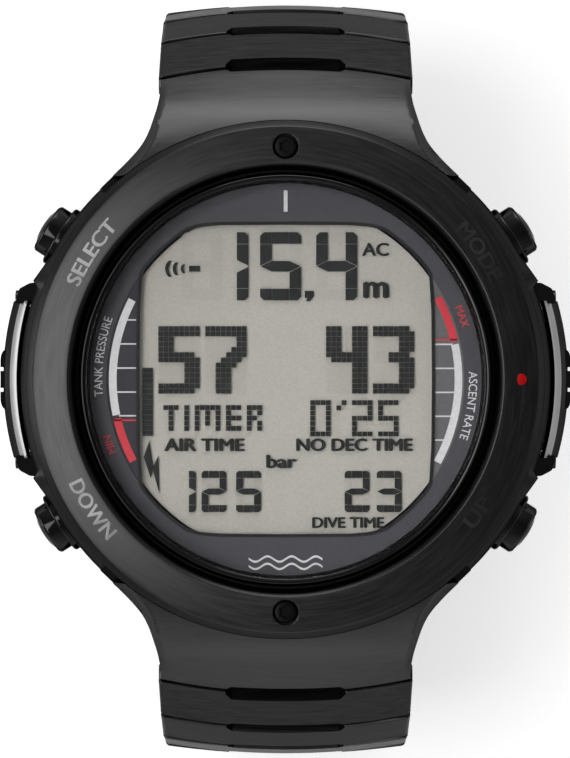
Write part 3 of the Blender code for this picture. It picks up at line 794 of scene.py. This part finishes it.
def build_labels():
    for words, angle, clockwise, width in (
        ("SELECT", 146.8, True, 7.1), ("MODE", 33.4, True, 6.25),
        ("DOWN", 213.9, False, 6.35), ("UP", -34.6, False, 3.2),
    ):
        spot = round_dial(22.2, angle, clockwise, label_height)
        lettering("label_" + words.lower(), words, width, 1.45, spot, "label", 0.03)
    for words, radius, angle, width, height, paint, bold in (
        ("TANK PRESSURE", 17.93, 172.9, 7.7, 0.82, "white", 0.004),
        ("ASCENT RATE", 17.93, -8.1, 6.6, 0.82, "white", 0.004),
        ("MIN", 17.95, 200.3, 1.75, 0.72, "red", 0.002),
        ("MAX", 17.95, 19.6, 2.1, 0.74, "red", 0.002),
    ):
        name = "print_" + words.lower().replace(" ", "_")
        spot = round_dial(radius, angle, True, dial_height)
        lettering(name, words, width, height, spot, paint, bold)
    section = [(0.2, -0.05), (0.54, -0.05), (0.54, 0.02), (0.45, 0.05), (0.2, 0.06)]
    top = bezel_height(22.36)
    dot = turned("three_oclock_dot", [(r, top + z) for r, z in section], 40, hole=False)
    done(moved(dot, 22.36, 0, 0), "dot")


def band(start, end):
    return arc(16.78, start, end, 24) + arc(16.05, end, start, 24)


def stroke(left, right, y):
    return box_outline((min(left, right), y - 0.07), (max(left, right), y + 0.07))


def build_scales():
    low = DIAL_TOP - SCALE_DEPTH + 0.004
    high = low + 0.025
    for name, side, rows, main, warning, last in (
        ("pressure_scale", -1, (5.65, 3.37, 1.08, -1.2, -3.45), (152.6, 191.9), (193.1, 208.2), -3.87),
        ("rate_scale", 1, (3.33, 1.05, -1.23, -3.5, -5.76), (-28.6, 11.7), (12.7, 28.2), 3.77),
    ):
        white = [band(*main)]
        for y in rows:
            white.append(stroke(side * sqrt(16.2 ** 2 - y * y), side * 14.2, y))
        flat_piece(name, white, low, high, "white")
        red = [band(*warning), stroke(side * 16.3, side * 14.2, last)]
        flat_piece(name + "_red", red, low, high, "red")
    printed = (DIAL_TOP + 0.004, DIAL_TOP + 0.03, "white")
    flat_piece("noon_tick", [box_outline((-0.18, 15.92), (0.18, 17.94))], *printed)
    waves = []
    for row in (-16.95, -17.65):
        crest = [(x / 10, row + 0.26 * sin(x / 10 * 2 * pi / 2.3)) for x in range(-35, 36, 2)]
        waves.append(crest + [(x, y - 0.2) for x, y in reversed(crest)])
    flat_piece("water_sign", waves, *printed)


DIGIT_STROKES = {
    "1": "bc", "2": "abged", "3": "abgcd", "4": "fgbc", "5": "afgcd", "8": "abcdefg",
}
TOP_ROW = (7.52, 6.48, 1.1, 0.05)            # a row of digits: foot, height, stroke and gap
LOW_ROW = (-12.62, 3.92, 0.66, 0.04)
WIDE, SLIM = 3.9, 2.37                       # widths of a digit in each row


def digit(sign, left, width, low, height, thick, gap):
    """The strokes of a seven-segment digit, with clipped corners and pointed joints."""
    right, top = left + width, low + height
    middle = low + height / 2
    half, clip = thick / 2, thick * 0.32
    on = DIGIT_STROKES[sign]

    def mirrored(outline, sideways, down):
        return [(left + right - x if sideways else x, low + top - y if down else y) for x, y in outline]

    lid = box_outline((left + thick + gap, top - thick), (right - thick - gap, top))
    waist = [(left + gap, middle), (left + thick, middle + half - gap),
             (right - thick, middle + half - gap)]
    side = [(left, middle + gap), (left + thick, middle + half + gap),
            (left + thick, top - thick - gap), (left, top - thick - gap)]
    corner = [(left, top - thick), (left, top - clip), (left + clip, top),
              (left + thick, top), (left + thick, top - thick)]
    strokes = {
        "a": lid, "d": mirrored(lid, False, True), "g": waist + mirrored(waist, True, True),
        "f": side, "e": mirrored(side, False, True),
        "b": mirrored(side, True, False), "c": mirrored(side, True, True),
    }
    corners = {
        "af": corner, "ab": mirrored(corner, True, False),
        "de": mirrored(corner, False, True), "dc": mirrored(corner, True, True),
    }
    made = [outline for name, outline in strokes.items() if name in on]
    made += [outline for names, outline in corners.items() if set(names) & set(on)]
    return made


CELLS = {
    "5": "######## " * 2 + "###..... " * 3 + "#######. ######## " + ".....### " * 4 + "######## #######.",
    "7": "######## " * 2 + "......## " * 2 + ".....### ....#### ...####. ..####.. " + "..###... " * 5,
    "4": "###..### " * 5 + "######## .####### " + ".....### " * 6,
    "3": ("#######. ######## " + ".....### " * 3 + "...####. ...##### " + ".....### " * 4
          + "######## #######."),
    "timer": "###.#.#####.###.### .#..#.#.#.#.#...#.# .#..#.#.#.#.###.##. .#..#.#.#.#.#...#.# "
             ".#..#.#...#.###.#.#",
    "seconds": "####..#.####.#### #..#.#.....#.#... #..#.......#.#... #..#....####.#### "
               "#..#....#.......# #..#....#.......# ####....####.####",
}
MATRIX_LEFTS = (-12.12, -7.66, 3.82, 8.28)
MATRIX_TOP = 5.08
CELL = 0.496                                 # from one dot of a matrix sign to the next


def cell(left, top, column, row):
    """One square dot of a matrix sign, a hair smaller than its place."""
    x, y = left + column * CELL, top - row * CELL
    return box_outline((x + 0.02, y - CELL + 0.02), (x + CELL - 0.02, y - 0.02))


def cells(pattern, left, top):
    """The lit dots of a matrix sign."""
    return [cell(left, top, column, row) for row, line in enumerate(CELLS[pattern].split())
            for column, mark in enumerate(line) if mark == "#"]


def bow_stroke(left, radius, half, thick):
    """A short bow that bulges to the left, thicker in its middle."""
    reach = degrees(asin(half / radius))
    outside = arc(radius, 180 - reach, 180 + reach, 10, (left + radius, 10.52))
    inside = arc(radius * 1.12, 180 + reach * 0.87, 180 - reach * 0.87, 10,
                 (left + thick + radius * 1.12, 10.52))
    return outside + inside


def build_ghosts():
    """The unlit strokes and dots, which show faintly on the panel."""
    faint = []
    for left in (-2.43, 2.9, -9.9):
        faint += digit("8", left, WIDE, *TOP_ROW)
    for left in (-8.0, -4.71, 5.61, 8.66):
        faint += digit("8", left, SLIM, *LOW_ROW)
    for left in MATRIX_LEFTS:
        faint += [cell(left, MATRIX_TOP, column, row) for row in range(13) for column in range(8)]
    flat_piece("display_unlit_signs", faint, PANEL_TOP + 0.01, PANEL_TOP + 0.03, "ghost")


def build_display():
    ink = []
    for sign, left, width in (("1", -4.66, 1.12), ("5", -2.43, WIDE), ("4", 2.9, WIDE)):
        ink += digit(sign, left, width, *TOP_ROW)
    ink.append([(1.82, 8.42), (2.68, 8.42), (2.68, 7.9), (2.3, 7.42), (1.95, 7.42), (2.05, 7.75),
                (1.82, 7.75)])
    for sign, left, width in (("1", -9.2, 0.66), ("2", -8.0, SLIM), ("5", -4.71, SLIM),
                              ("2", 5.61, SLIM), ("3", 8.66, SLIM)):
        ink += digit(sign, left, width, *LOW_ROW)
    for sign, left in zip("5743", MATRIX_LEFTS):
        ink += cells(sign, left, MATRIX_TOP)
    ink += cells("timer", -11.65, -2.43)
    ink += cells("seconds", 2.32, -1.96)
    for i in range(13):
        top = 1.1 - i * 0.499
        ink.append(box_outline((-13.62, top - 0.475), (-12.62, top)))
    ink.append([(-12.95, -5.78), (-13.5, -7.38), (-12.83, -9.4), (-12.63, -8.62), (-12.0, -10.9),
                (-12.1, -7.25), (-12.58, -8.25)])
    ink.append(box_outline((-9.18, 10.25), (-8.16, 10.8)))
    for left, radius, half, thick in ((-11.47, 1.04, 0.76, 0.36), (-10.74, 0.87, 0.6, 0.33),
                                      (-9.98, 0.6, 0.42, 0.3)):
        ink.append(bow_stroke(left, radius, half, thick))
    flat_piece("display_signs", ink, SEGMENT_Z, SEGMENT_Z + 0.03, "ink")
    for name, words, left, right, bottom, top, bold in (
        ("sign_ac", "AC", 7.26, 9.83, 11.73, 12.99, 0.03), ("sign_m", "m", 7.36, 9.83, 7.72, 9.3, 0.045),
        ("sign_air_time", "AIR TIME", -11.56, -3.86, -6.83, -5.6, 0.052),
        ("sign_no_dec_time", "NO DEC TIME", 0.99, 12.12, -6.83, -5.6, 0.052),
        ("sign_bar", "bar", -1.86, 1.1, -8.45, -7.15, 0.05),
        ("sign_dive_time", "DIVE TIME", 2.51, 9.4, -14.14, -13.1, 0.045),
    ):
        spot = on_display((left + right) / 2, (bottom + top) / 2)
        lettering(name, words, right - left, top - bottom, spot, "ink", bold, 0.03)


# ---- bracelet
def bow(x):
    return BOW * (x / LINK_HALF_W) ** 2


def outer(x):
    return LINK_OUT - CROWN * (x / LINK_HALF_W) ** 2


def across(half_width, inset=0.42, middle=19):
    """Places across the bracelet, each with how far the section is drawn in to round the side."""
    edge = [(half_width - inset * (1 - sin(radians(a))), inset * (1 - cos(radians(a))))
            for a in (90, 60, 35, 15, 0)]
    inner_w = half_width - inset
    flat = [(inner_w * (1 - 2 * i / (middle + 1)), 0.0) for i in range(1, middle + 1)]
    return [(-x, d) for x, d in edge] + [(-x, d) for x, d in flat] + edge[::-1]


def link_section(x, drawn):
    lip = KNUCKLE_R + SEAM_GAP
    start = SEAM + SEAM_GAP / 2 - bow(x) + drawn
    end = PITCH + SEAM - SEAM_GAP / 2 - bow(x) - drawn
    top = outer(x) - drawn
    inside = -LINK_IN + drawn * 0.5
    return rounded([
        (start, top), (start, lip), (-0.52, 0.85), (-1.0 + drawn * 0.3, 0), (-0.5, inside * 0.55),
        (0.9, inside), (PITCH - 1.4, inside), (PITCH - 1.4, lip), (end, lip), (end, top),
    ], 0.2, 3)


def slot_outline(start, point, far):
    """Plan of the recess at a seam: straight sides that narrow to its far end."""
    width, narrow = SLOT_HALF_W, SLOT_HALF_W - 0.55
    return [(-width, start), (-width, point), (-narrow, far), (narrow, far), (width, point), (width, start)]


def knuckle(axis_v, pin_half):
    outline = [(axis_v - 1.9, TONGUE_R), (axis_v - 1.9, -TONGUE_R)]
    outline += arc(TONGUE_R, -90, 90, 16, (axis_v, 0))
    made = bar("tongue", outline, -TONGUE_HALF_W, TONGUE_HALF_W)
    if pin_half > TONGUE_HALF_W:
        fuse(made, bar("pin", circle(0.45, 16, (axis_v, 0)), -pin_half, pin_half))
    return made


def link_pattern(pin_half):
    stations = across(LINK_HALF_W)
    link = loft("link", [[(x, v, n) for v, n in link_section(x, drawn)] for x, drawn in stations])
    cut(link, prism("notch", slot_outline(-3, -0.1, 1.08), -3, 4))
    slot = slot_outline(PITCH + 1, PITCH + SEAM - 0.1, PITCH + SEAM - 0.65)
    cut(link, prism("slot", slot, TONGUE_R + 0.1, 4))
    cut(link, bar("bore", circle(0.6, 24), -8.4, 8.4))
    fuse(link, knuckle(PITCH, pin_half))
    return softened(link, 0.14, 42.0)


def link_place(number, side, spots):
    """The matrix that carries a link drawn along Y, out along Z, to its hinge."""
    here, there = spots[number - 1], spots[number]
    along = (there - here).normalized()
    sideways = Vector((side, 0, 0))
    out = sideways.cross(along)
    turn = Matrix((sideways, along, out)).transposed().to_4x4()
    return Matrix.Translation(here) @ turn


def build_links():
    patterns = {"common": link_pattern(8.0), "long": link_pattern(11.5), "free": link_pattern(0.0)}
    far = place_of("clasp_cover_hinge")
    for hour, side in HOURS:
        spots = [place_of(f"link_{hour}_{n}_hinge") for n in range(1, 7)]
        spots.append(Vector((0, side * far.y, far.z)))
        for number in range(1, 7):
            last = {"12": "long", "6": "free"}[hour]
            pattern = patterns[last if number == 6 else "common"]
            link = placed(f"bracelet_{hour}_{number}", pattern.data.copy())
            laid(link, link_place(number, side, spots))
            name = f"link_{hour}_{number}"
            done(link, "link", name, name, lift=0.0)
    for pattern in patterns.values():
        bpy.data.objects.remove(pattern, do_unlink=True)


END_LINK_SIDE = smooth_curve([
    (12.35, 31), (12.1, 28.6), (12.27, 26.86), (12.6, 25.5), (13.17, 23.77), (13.9, 22.4),
    (15.15, 20.95), (16.5, 19.6), (17.75, 18.38),
], 6)


FOOT = (16.1, 22.4)            # the scooped flank above an end link's foot
FOOT_R = 2.93


def end_link_outline():
    """Plan of an end link: near-parallel sides that flare to the case in a hollow curve."""
    half = [(12.35, 34)] + END_LINK_SIDE + [(17.82, 18.25), (16.47, 16.87)]
    return half + [(-x, y) for x, y in reversed(half)]


def flank_drop(x, y):
    """How far an end link's top falls in the bevel along its flared side, wider at the case."""
    edge = END_LINK_SIDE[-1][0] + (END_LINK_SIDE[-1][1] - y)
    for (x0, y0), (x1, y1) in zip(END_LINK_SIDE, END_LINK_SIDE[1:]):
        if y1 <= y <= y0:
            edge = x0 + (x1 - x0) * (y0 - y) / (y0 - y1)
    if y > END_LINK_SIDE[0][1]:
        edge = END_LINK_SIDE[0][0]
    width = 0.5 + 0.75 * min(max((25.0 - y) / 4.0, 0), 1)
    fade = min(max((29.2 - y) / 2.0, 0.15), 1)
    return min(max(abs(x) - edge + width, 0), width * 1.2) * 1.15 * fade


def end_link_foot(side):
    """What is cut off an end link's foot, so that it carries on the case's sloped shoulder."""
    shoulder = [(23.5, 12.9), (24.87, 11.47), (25.75, 10.27), (27.5, 10.27), (27.5, 20), (23.5, 20)]
    tool = turned("foot", shoulder, sides=ROUND * 2)
    corner = [(side * x, y) for x, y in box_outline((13.6, 16.5), (19.5, 20.75))]
    combine(tool, prism("corner", corner, 5, 25), "INTERSECT")
    cut(tool, prism("scoop", circle(FOOT_R, 64, (side * FOOT[0], FOOT[1])), 4, 26))
    return tool


def build_end_link(hour, side):
    first = place_of("link_12_1_hinge") - Vector((0, 0, BASE))
    hinge = Vector((first.y, first.z))
    tilt = radians(FIRST_TILT)
    along = Vector((cos(tilt), -sin(tilt)))
    out = Vector((sin(tilt), cos(tilt)))

    def spot(v, n):
        return tuple(hinge + along * v + out * n)

    def section(x):
        drop = CROWN * (x / LINK_HALF_W) ** 2
        edge = min(abs(x), LINK_HALF_W)
        end = SEAM - SEAM_GAP / 2 - bow(edge)
        lip = KNUCKLE_R + SEAM_GAP
        corner = spot(end, outer(edge))
        back = spot(end - 1.2, outer(edge) + 0.02)
        top = [(16.0, 13.2 - drop * 0.1), (19.0, 13.1 - drop * 0.2), (22.0, 12.75 - drop * 0.55),
               (24.6, 11.75 - drop * 0.9), (26.7, 10.25 - drop), back, corner]
        bevelled = [(y, z - flank_drop(x, y)) for y, z in smooth_curve(top, 9)]
        below = [spot(end, lip), spot(-1.4, lip), spot(-1.4, -LINK_IN), (25.2, 2.9), (16.0, 2.9)]
        return bevelled + below

    xs = [-18 + 36 * i / 144 for i in range(145)]
    link = loft("end_piece_" + hour, [[(x, y, z) for y, z in section(x)] for x in xs])
    combine(link, prism("plan", end_link_outline(), 0, 20), "INTERSECT")
    cut(link, prism("bezel", circle(BEZEL_R + 0.12, ROUND * 2), 0, 20))
    cut(link, end_link_foot(1), end_link_foot(-1))
    cut(link, bar("pocket", lug_outline(20.0, 1.9), -7.8, 7.8))
    cut(link, bar("bore", circle(1.0, 24, LUG_PIN), -15, 15))
    slot = prism("slot", slot_outline(1, SEAM - 0.1, SEAM - 0.65), TONGUE_R + 0.1, 4)
    seat = Matrix.Translation((0, hinge.x, hinge.y)) @ Matrix.Rotation(-tilt, 4, "X")
    cut(link, laid(slot, seat))
    bevel_by_weight(link)
    fuse(link, laid(knuckle(0.0, 8.0), seat))
    if side < 0:
        link.data.transform(Matrix.Rotation(pi, 4, "Z"))
    # the end link's sloped faces by the case take the darker foot paint: painted shade
    paint_faces(link, ("link", "foot"), lambda normal, middle: int(
        abs(middle.y) < 20.7 and 24.85 < hypot(middle.x, middle.y) and 0.2 < normal.z < 0.9
        and hypot(abs(middle.x) - FOOT[0], abs(middle.y) - FOOT[1]) > FOOT_R - 0.02))
    done(link, "link", "end_link_" + hour)


def bevel_by_weight(link, side_width=0.6, fine=0.1):
    """Bevel the upper side edges of an end link widely and its other edges finely."""
    form = bmesh.new()
    form.from_mesh(link.data)
    layer = form.edges.layers.float.new("bevel_weight_edge")
    for edge in form.edges:
        if len(edge.link_faces) != 2 or edge.calc_face_angle(0) < radians(35):
            continue
        one, two = edge.link_faces
        walls = [f for f in (one, two) if abs(f.normal.z) < 0.05 and abs(f.normal.x) > 0.3]
        tops = [f for f in (one, two) if f.normal.z > 0.3]
        middle = (edge.verts[0].co + edge.verts[1].co) / 2
        by_bezel = hypot(middle.x, middle.y) < BEZEL_R + 0.3
        wide = walls and tops and not by_bezel and abs(middle.x) > 11
        edge[layer] = 1.0 if wide else fine / side_width
    form.to_mesh(link.data)
    form.free()
    change = link.modifiers.new("soften", "BEVEL")
    change.width = side_width
    change.segments = 4
    change.limit_method = "WEIGHT"
    settled(link)


# ---- clasp
CLASP_HALF_W = 12.0
CLASP_WALL = 1.2
CLASP_DEPTH = 2.4
NARROW_FROM, NARROW_TO = 38.7, 51.1
NARROW_HALF_W = 10.5
NARROW_FLOOR = 0.4
BLADE_HALF_W = 8.6


def clasp_place():
    """Carries what is drawn along Y, out along Z, to the closed clasp."""
    turn = Matrix(((1, 0, 0), (0, -1, 0), (0, 0, -1))).transposed().to_4x4()
    return Matrix.Translation(place_of("clasp_cover_hinge")) @ turn


def in_clasp(joint):
    spot = clasp_place().inverted() @ place_of(joint)
    return (spot.y, spot.z)


def clasp_piece(made, paint, name, at=(0, 0), width=0.08, segments=2):
    """Finish a piece of the clasp that is drawn about one of its hinges."""
    laid(softened(made, width, 40.0, segments), clasp_place() @ Matrix.Translation((0, *at)))
    done(made, paint, name, name, lift=0.0)


def both_sides(inner, outer_x):
    """A stretch along X on the right and its mirror on the left."""
    return ((inner, outer_x), (-outer_x, -inner))


def build_cover():
    start = SEAM + SEAM_GAP / 2
    lip = KNUCKLE_R + SEAM_GAP
    outline = [
        (start, LINK_OUT), (start, lip), *arc(KNUCKLE_R, 110, 250, 12), (0.9, -CLASP_DEPTH),
        (NARROW_FROM, -CLASP_DEPTH), (NARROW_FROM, LINK_OUT),
    ]
    cover = bar("clasp_shell", outline, -CLASP_HALF_W, CLASP_HALF_W)
    narrow = box_outline((NARROW_FROM - 0.5, 0.2 - CLASP_DEPTH), (NARROW_TO, NARROW_FLOOR + 0.7))
    fuse(cover, bar("narrow", narrow, -NARROW_HALF_W, NARROW_HALF_W))
    inside = CLASP_HALF_W - CLASP_WALL
    ceiling = LINK_OUT - 1.0
    hollow = [
        (-3, 1.2), (1.6, 1.2), (2.4, ceiling), (NARROW_FROM - 1.6, ceiling),
        (NARROW_FROM - 0.8, NARROW_FLOOR), (NARROW_FROM - 0.8, -4), (-3, -4),
    ]
    cut(cover, bar("hollow", hollow, -inside, inside))
    tight = box_outline((NARROW_FROM - 2, -4), (NARROW_TO + 2, NARROW_FLOOR))
    cut(cover, bar("hollow", tight, CLASP_WALL - NARROW_HALF_W, NARROW_HALF_W - CLASP_WALL))
    cut(cover, bar("mouth", box_outline((-3, -4), (1.2, 4)), -inside, inside))
    cut(cover, bar("bore", circle(0.6, 24), -11.8, 11.8))
    for joint in ("clasp_blade_a_hinge", "safety_lock_hinge"):
        cut(cover, bar("bore", circle(0.58, 24, in_clasp(joint)), -14, 14))
    clasp_piece(cover, "link", "clasp_cover", width=0.22, segments=3)


def build_blade_a():
    v, n = in_clasp("clasp_blade_a_hinge")
    w, m = in_clasp("clasp_blade_b_hinge")
    fold = (w - v, m - n)
    plate = box_outline((fold[0] + 0.5, -0.4), (-0.3, 0.4))
    blade = bar("fold_blade_a", plate, -BLADE_HALF_W, BLADE_HALF_W)
    for ends in both_sides(3.0, 12.0):
        cut(blade, bar("gap", box_outline((fold[0] - 2, -3), (fold[0] + 1.6, 3)), *ends))
    for start in (-30.0, -18.0):
        hole = rounded(box_outline((-4.2, start), (4.2, start + 7.0)), 2.0, 6)
        cut(blade, prism("window", hole, -3, 3))
    fuse(blade, bar("barrel", circle(0.67, 24), -BLADE_HALF_W, BLADE_HALF_W))
    fuse(blade, bar("pin", circle(0.4, 16), -10.0, 10.0))
    fuse(blade, bar("barrel", circle(0.95, 24, fold), -2.95, 2.95))
    fuse(blade, bar("pin", circle(0.4, 16, fold), -5.4, 5.4))
    clasp_piece(blade, "gloss", "clasp_blade_a", (v, n))


def build_blade_b():
    far = place_of("clasp_cover_hinge")
    w, m = in_clasp("clasp_blade_b_hinge")
    reach = 2 * far.y - w
    level = -1.6 - m
    outline = [
        (0.3, level - 0.4), (reach - 2.6, level - 0.4), (reach - 0.6, -0.6), (reach - 0.6, 1.6),
        (reach - 1.4, 1.6), (reach - 3.2, level + 0.4), (0.3, level + 0.4),
    ]
    blade = bar("fold_blade_b", outline, -BLADE_HALF_W, BLADE_HALF_W)
    notch = box_outline((reach - 3.3, -4), (reach + 1, 4))
    cut(blade, bar("notch", notch, -SLOT_HALF_W, SLOT_HALF_W))
    cut(blade, bar("notch", box_outline((-2, -4), (1.5, 4)), -3.3, 3.3))
    for ends in both_sides(3.35, BLADE_HALF_W):
        fuse(blade, bar("barrel", circle(0.95, 24), *ends))
    for ends in both_sides(3.0, 5.9):
        cut(blade, bar("bore", circle(0.6, 24), *ends))
    clasp_piece(blade, "gloss", "clasp_blade_b", (w, m))


def build_lock():
    v, n = in_clasp("safety_lock_hinge")
    face = LINK_OUT - 0.1 - n
    inner_face = NARROW_FLOOR + 1.1 - n
    free = NARROW_FROM + 0.25 - v
    side_view = [(free, face), (free, -1.0), (-2.2, -1.0), *arc(1.0, 240, 420, 16), (-1.2, face)]
    lock = bar("lock_flap", side_view, -CLASP_HALF_W, CLASP_HALF_W)
    inside = NARROW_HALF_W + 0.3
    cut(lock, bar("hollow", box_outline((free - 2, -3), (3, inner_face)), -inside, inside))
    for ends in both_sides(9.9, 11.4):
        fuse(lock, bar("pin", circle(0.4, 16), *ends))
    clasp_piece(lock, "link", "safety_lock", (v, n), 0.2, 3)


# ---- inner parts keep their CAD shapes
def paint_inner_parts():
    inner = {
        "rubber": ["back_gasket"], "panel": ["backlight_plate"], "brass": ["battery_contact", "buzzer"],
        "board": ["main_board"], "holder": ["module_frame"],
        "steel": ["battery", "pressure_sensor"] + ["pusher_spring_" + label for label in PUSHERS],
    }
    for paint, names in inner.items():
        for name in names:
            mesh = frame["nodes"][name].data
            mesh.materials.clear()
            mesh.materials.append(paints[paint])


# ---- studio
def build_studio():
    reach = 3.0
    mesh = bpy.data.meshes.new("studio_floor")
    corners = [(x, y, 0) for x, y in box_outline((-reach, -reach), (reach, reach))]
    mesh.from_pydata(corners, [], [(0, 1, 2, 3)])
    paint, _, shader = new_paint("floor_pale")
    for socket, value in (("Base Color", (0.90, 0.90, 0.90, 1)), ("Roughness", 0.8),
                          ("Emission Color", (1, 1, 1, 1)), ("Emission Strength", 0.48)):
        shader.inputs[socket].default_value = value
    mesh.materials.append(paint)
    placed("studio_floor", mesh)

    world = bpy.data.worlds.new("studio_world")
    bpy.context.scene.world = world
    world.use_nodes = True
    tree = world.node_tree
    sky = node(tree, "SeparateXYZ", node(tree, "TexCoord").outputs["Generated"])
    by_height = ramp(tree, sky.outputs["Z"], grey(1.45), grey(0.20), 0.20, 0.93)
    aside = node(tree, "Math", sky.outputs["X"], operation="ABSOLUTE")
    dimming = ramp(tree, aside.outputs["Value"], grey(1.0), grey(0.26), 0.15, 0.60)
    shade = tree.nodes.new("ShaderNodeMix")
    shade.data_type = "RGBA"
    shade.blend_type = "MULTIPLY"
    shade.inputs["Factor"].default_value = 1.0
    tree.links.new(by_height, shade.inputs["A"])
    tree.links.new(dimming, shade.inputs["B"])
    tree.links.new(shade.outputs["Result"], tree.nodes["Background"].inputs["Color"])


def build_lamps():
    target = Vector((0, 0, 0.04))
    for name, azimuth, elevation, distance, width, height, radiance in (
        ("softbox_left", 180, 66, 0.9, 0.62, 0.36, 4.6),
        ("softbox_top", 90, 16, 0.9, 0.62, 0.45, 3.2),
        ("softbox_low_left", 180, 9, 0.9, 0.56, 0.38, 3.4),
        ("softbox_right", 0, 6, 0.9, 0.5, 0.20, 1.0),
    ):
        lamp = bpy.data.lights.new(name, "AREA")
        lamp.shape = "RECTANGLE"
        lamp.size = width
        lamp.size_y = height
        lamp.energy = radiance * pi * width * height
        holder = placed(name, lamp)
        a, e = radians(azimuth), radians(elevation)
        away = Vector((cos(a) * cos(e), sin(a) * cos(e), sin(e)))
        sideways = Vector((-sin(a), cos(a), 0))
        turn = Matrix((sideways, away.cross(sideways), away)).transposed()
        holder.location = target + away * distance
        holder.rotation_euler = turn.to_euler()


def build_camera():
    """Straight above the dial, at a distance that gives the bezel's height a view of view_height."""
    distance, view_height = 380.0, 72.05323
    lens = bpy.data.cameras.new("camera")
    lens.sensor_width = 36.0
    lens.lens = lens.sensor_width * distance / view_height
    lens.clip_start = 0.01
    camera = placed("camera", lens)
    camera.location = (-0.00006, 0.00004, (BASE + 14.3 + distance) * MM)
    bpy.context.scene.camera = camera
    bpy.context.scene.view_settings.view_transform = "Standard"


build_camera()
build_case()
build_back()
build_bezel()
build_crystal()
build_fasteners()
for hand, side in (("right", 1), ("left", -1)):
    build_side_plate(hand, side)
for label, angle in PUSHERS.items():
    build_pusher(label, angle)
build_dial()
build_labels()
build_scales()
build_display()
build_ghosts()
build_links()
for hour, side in HOURS:
    build_end_link(hour, side)
build_cover()
build_blade_a()
build_blade_b()
build_lock()
paint_inner_parts()
build_studio()
build_lamps()
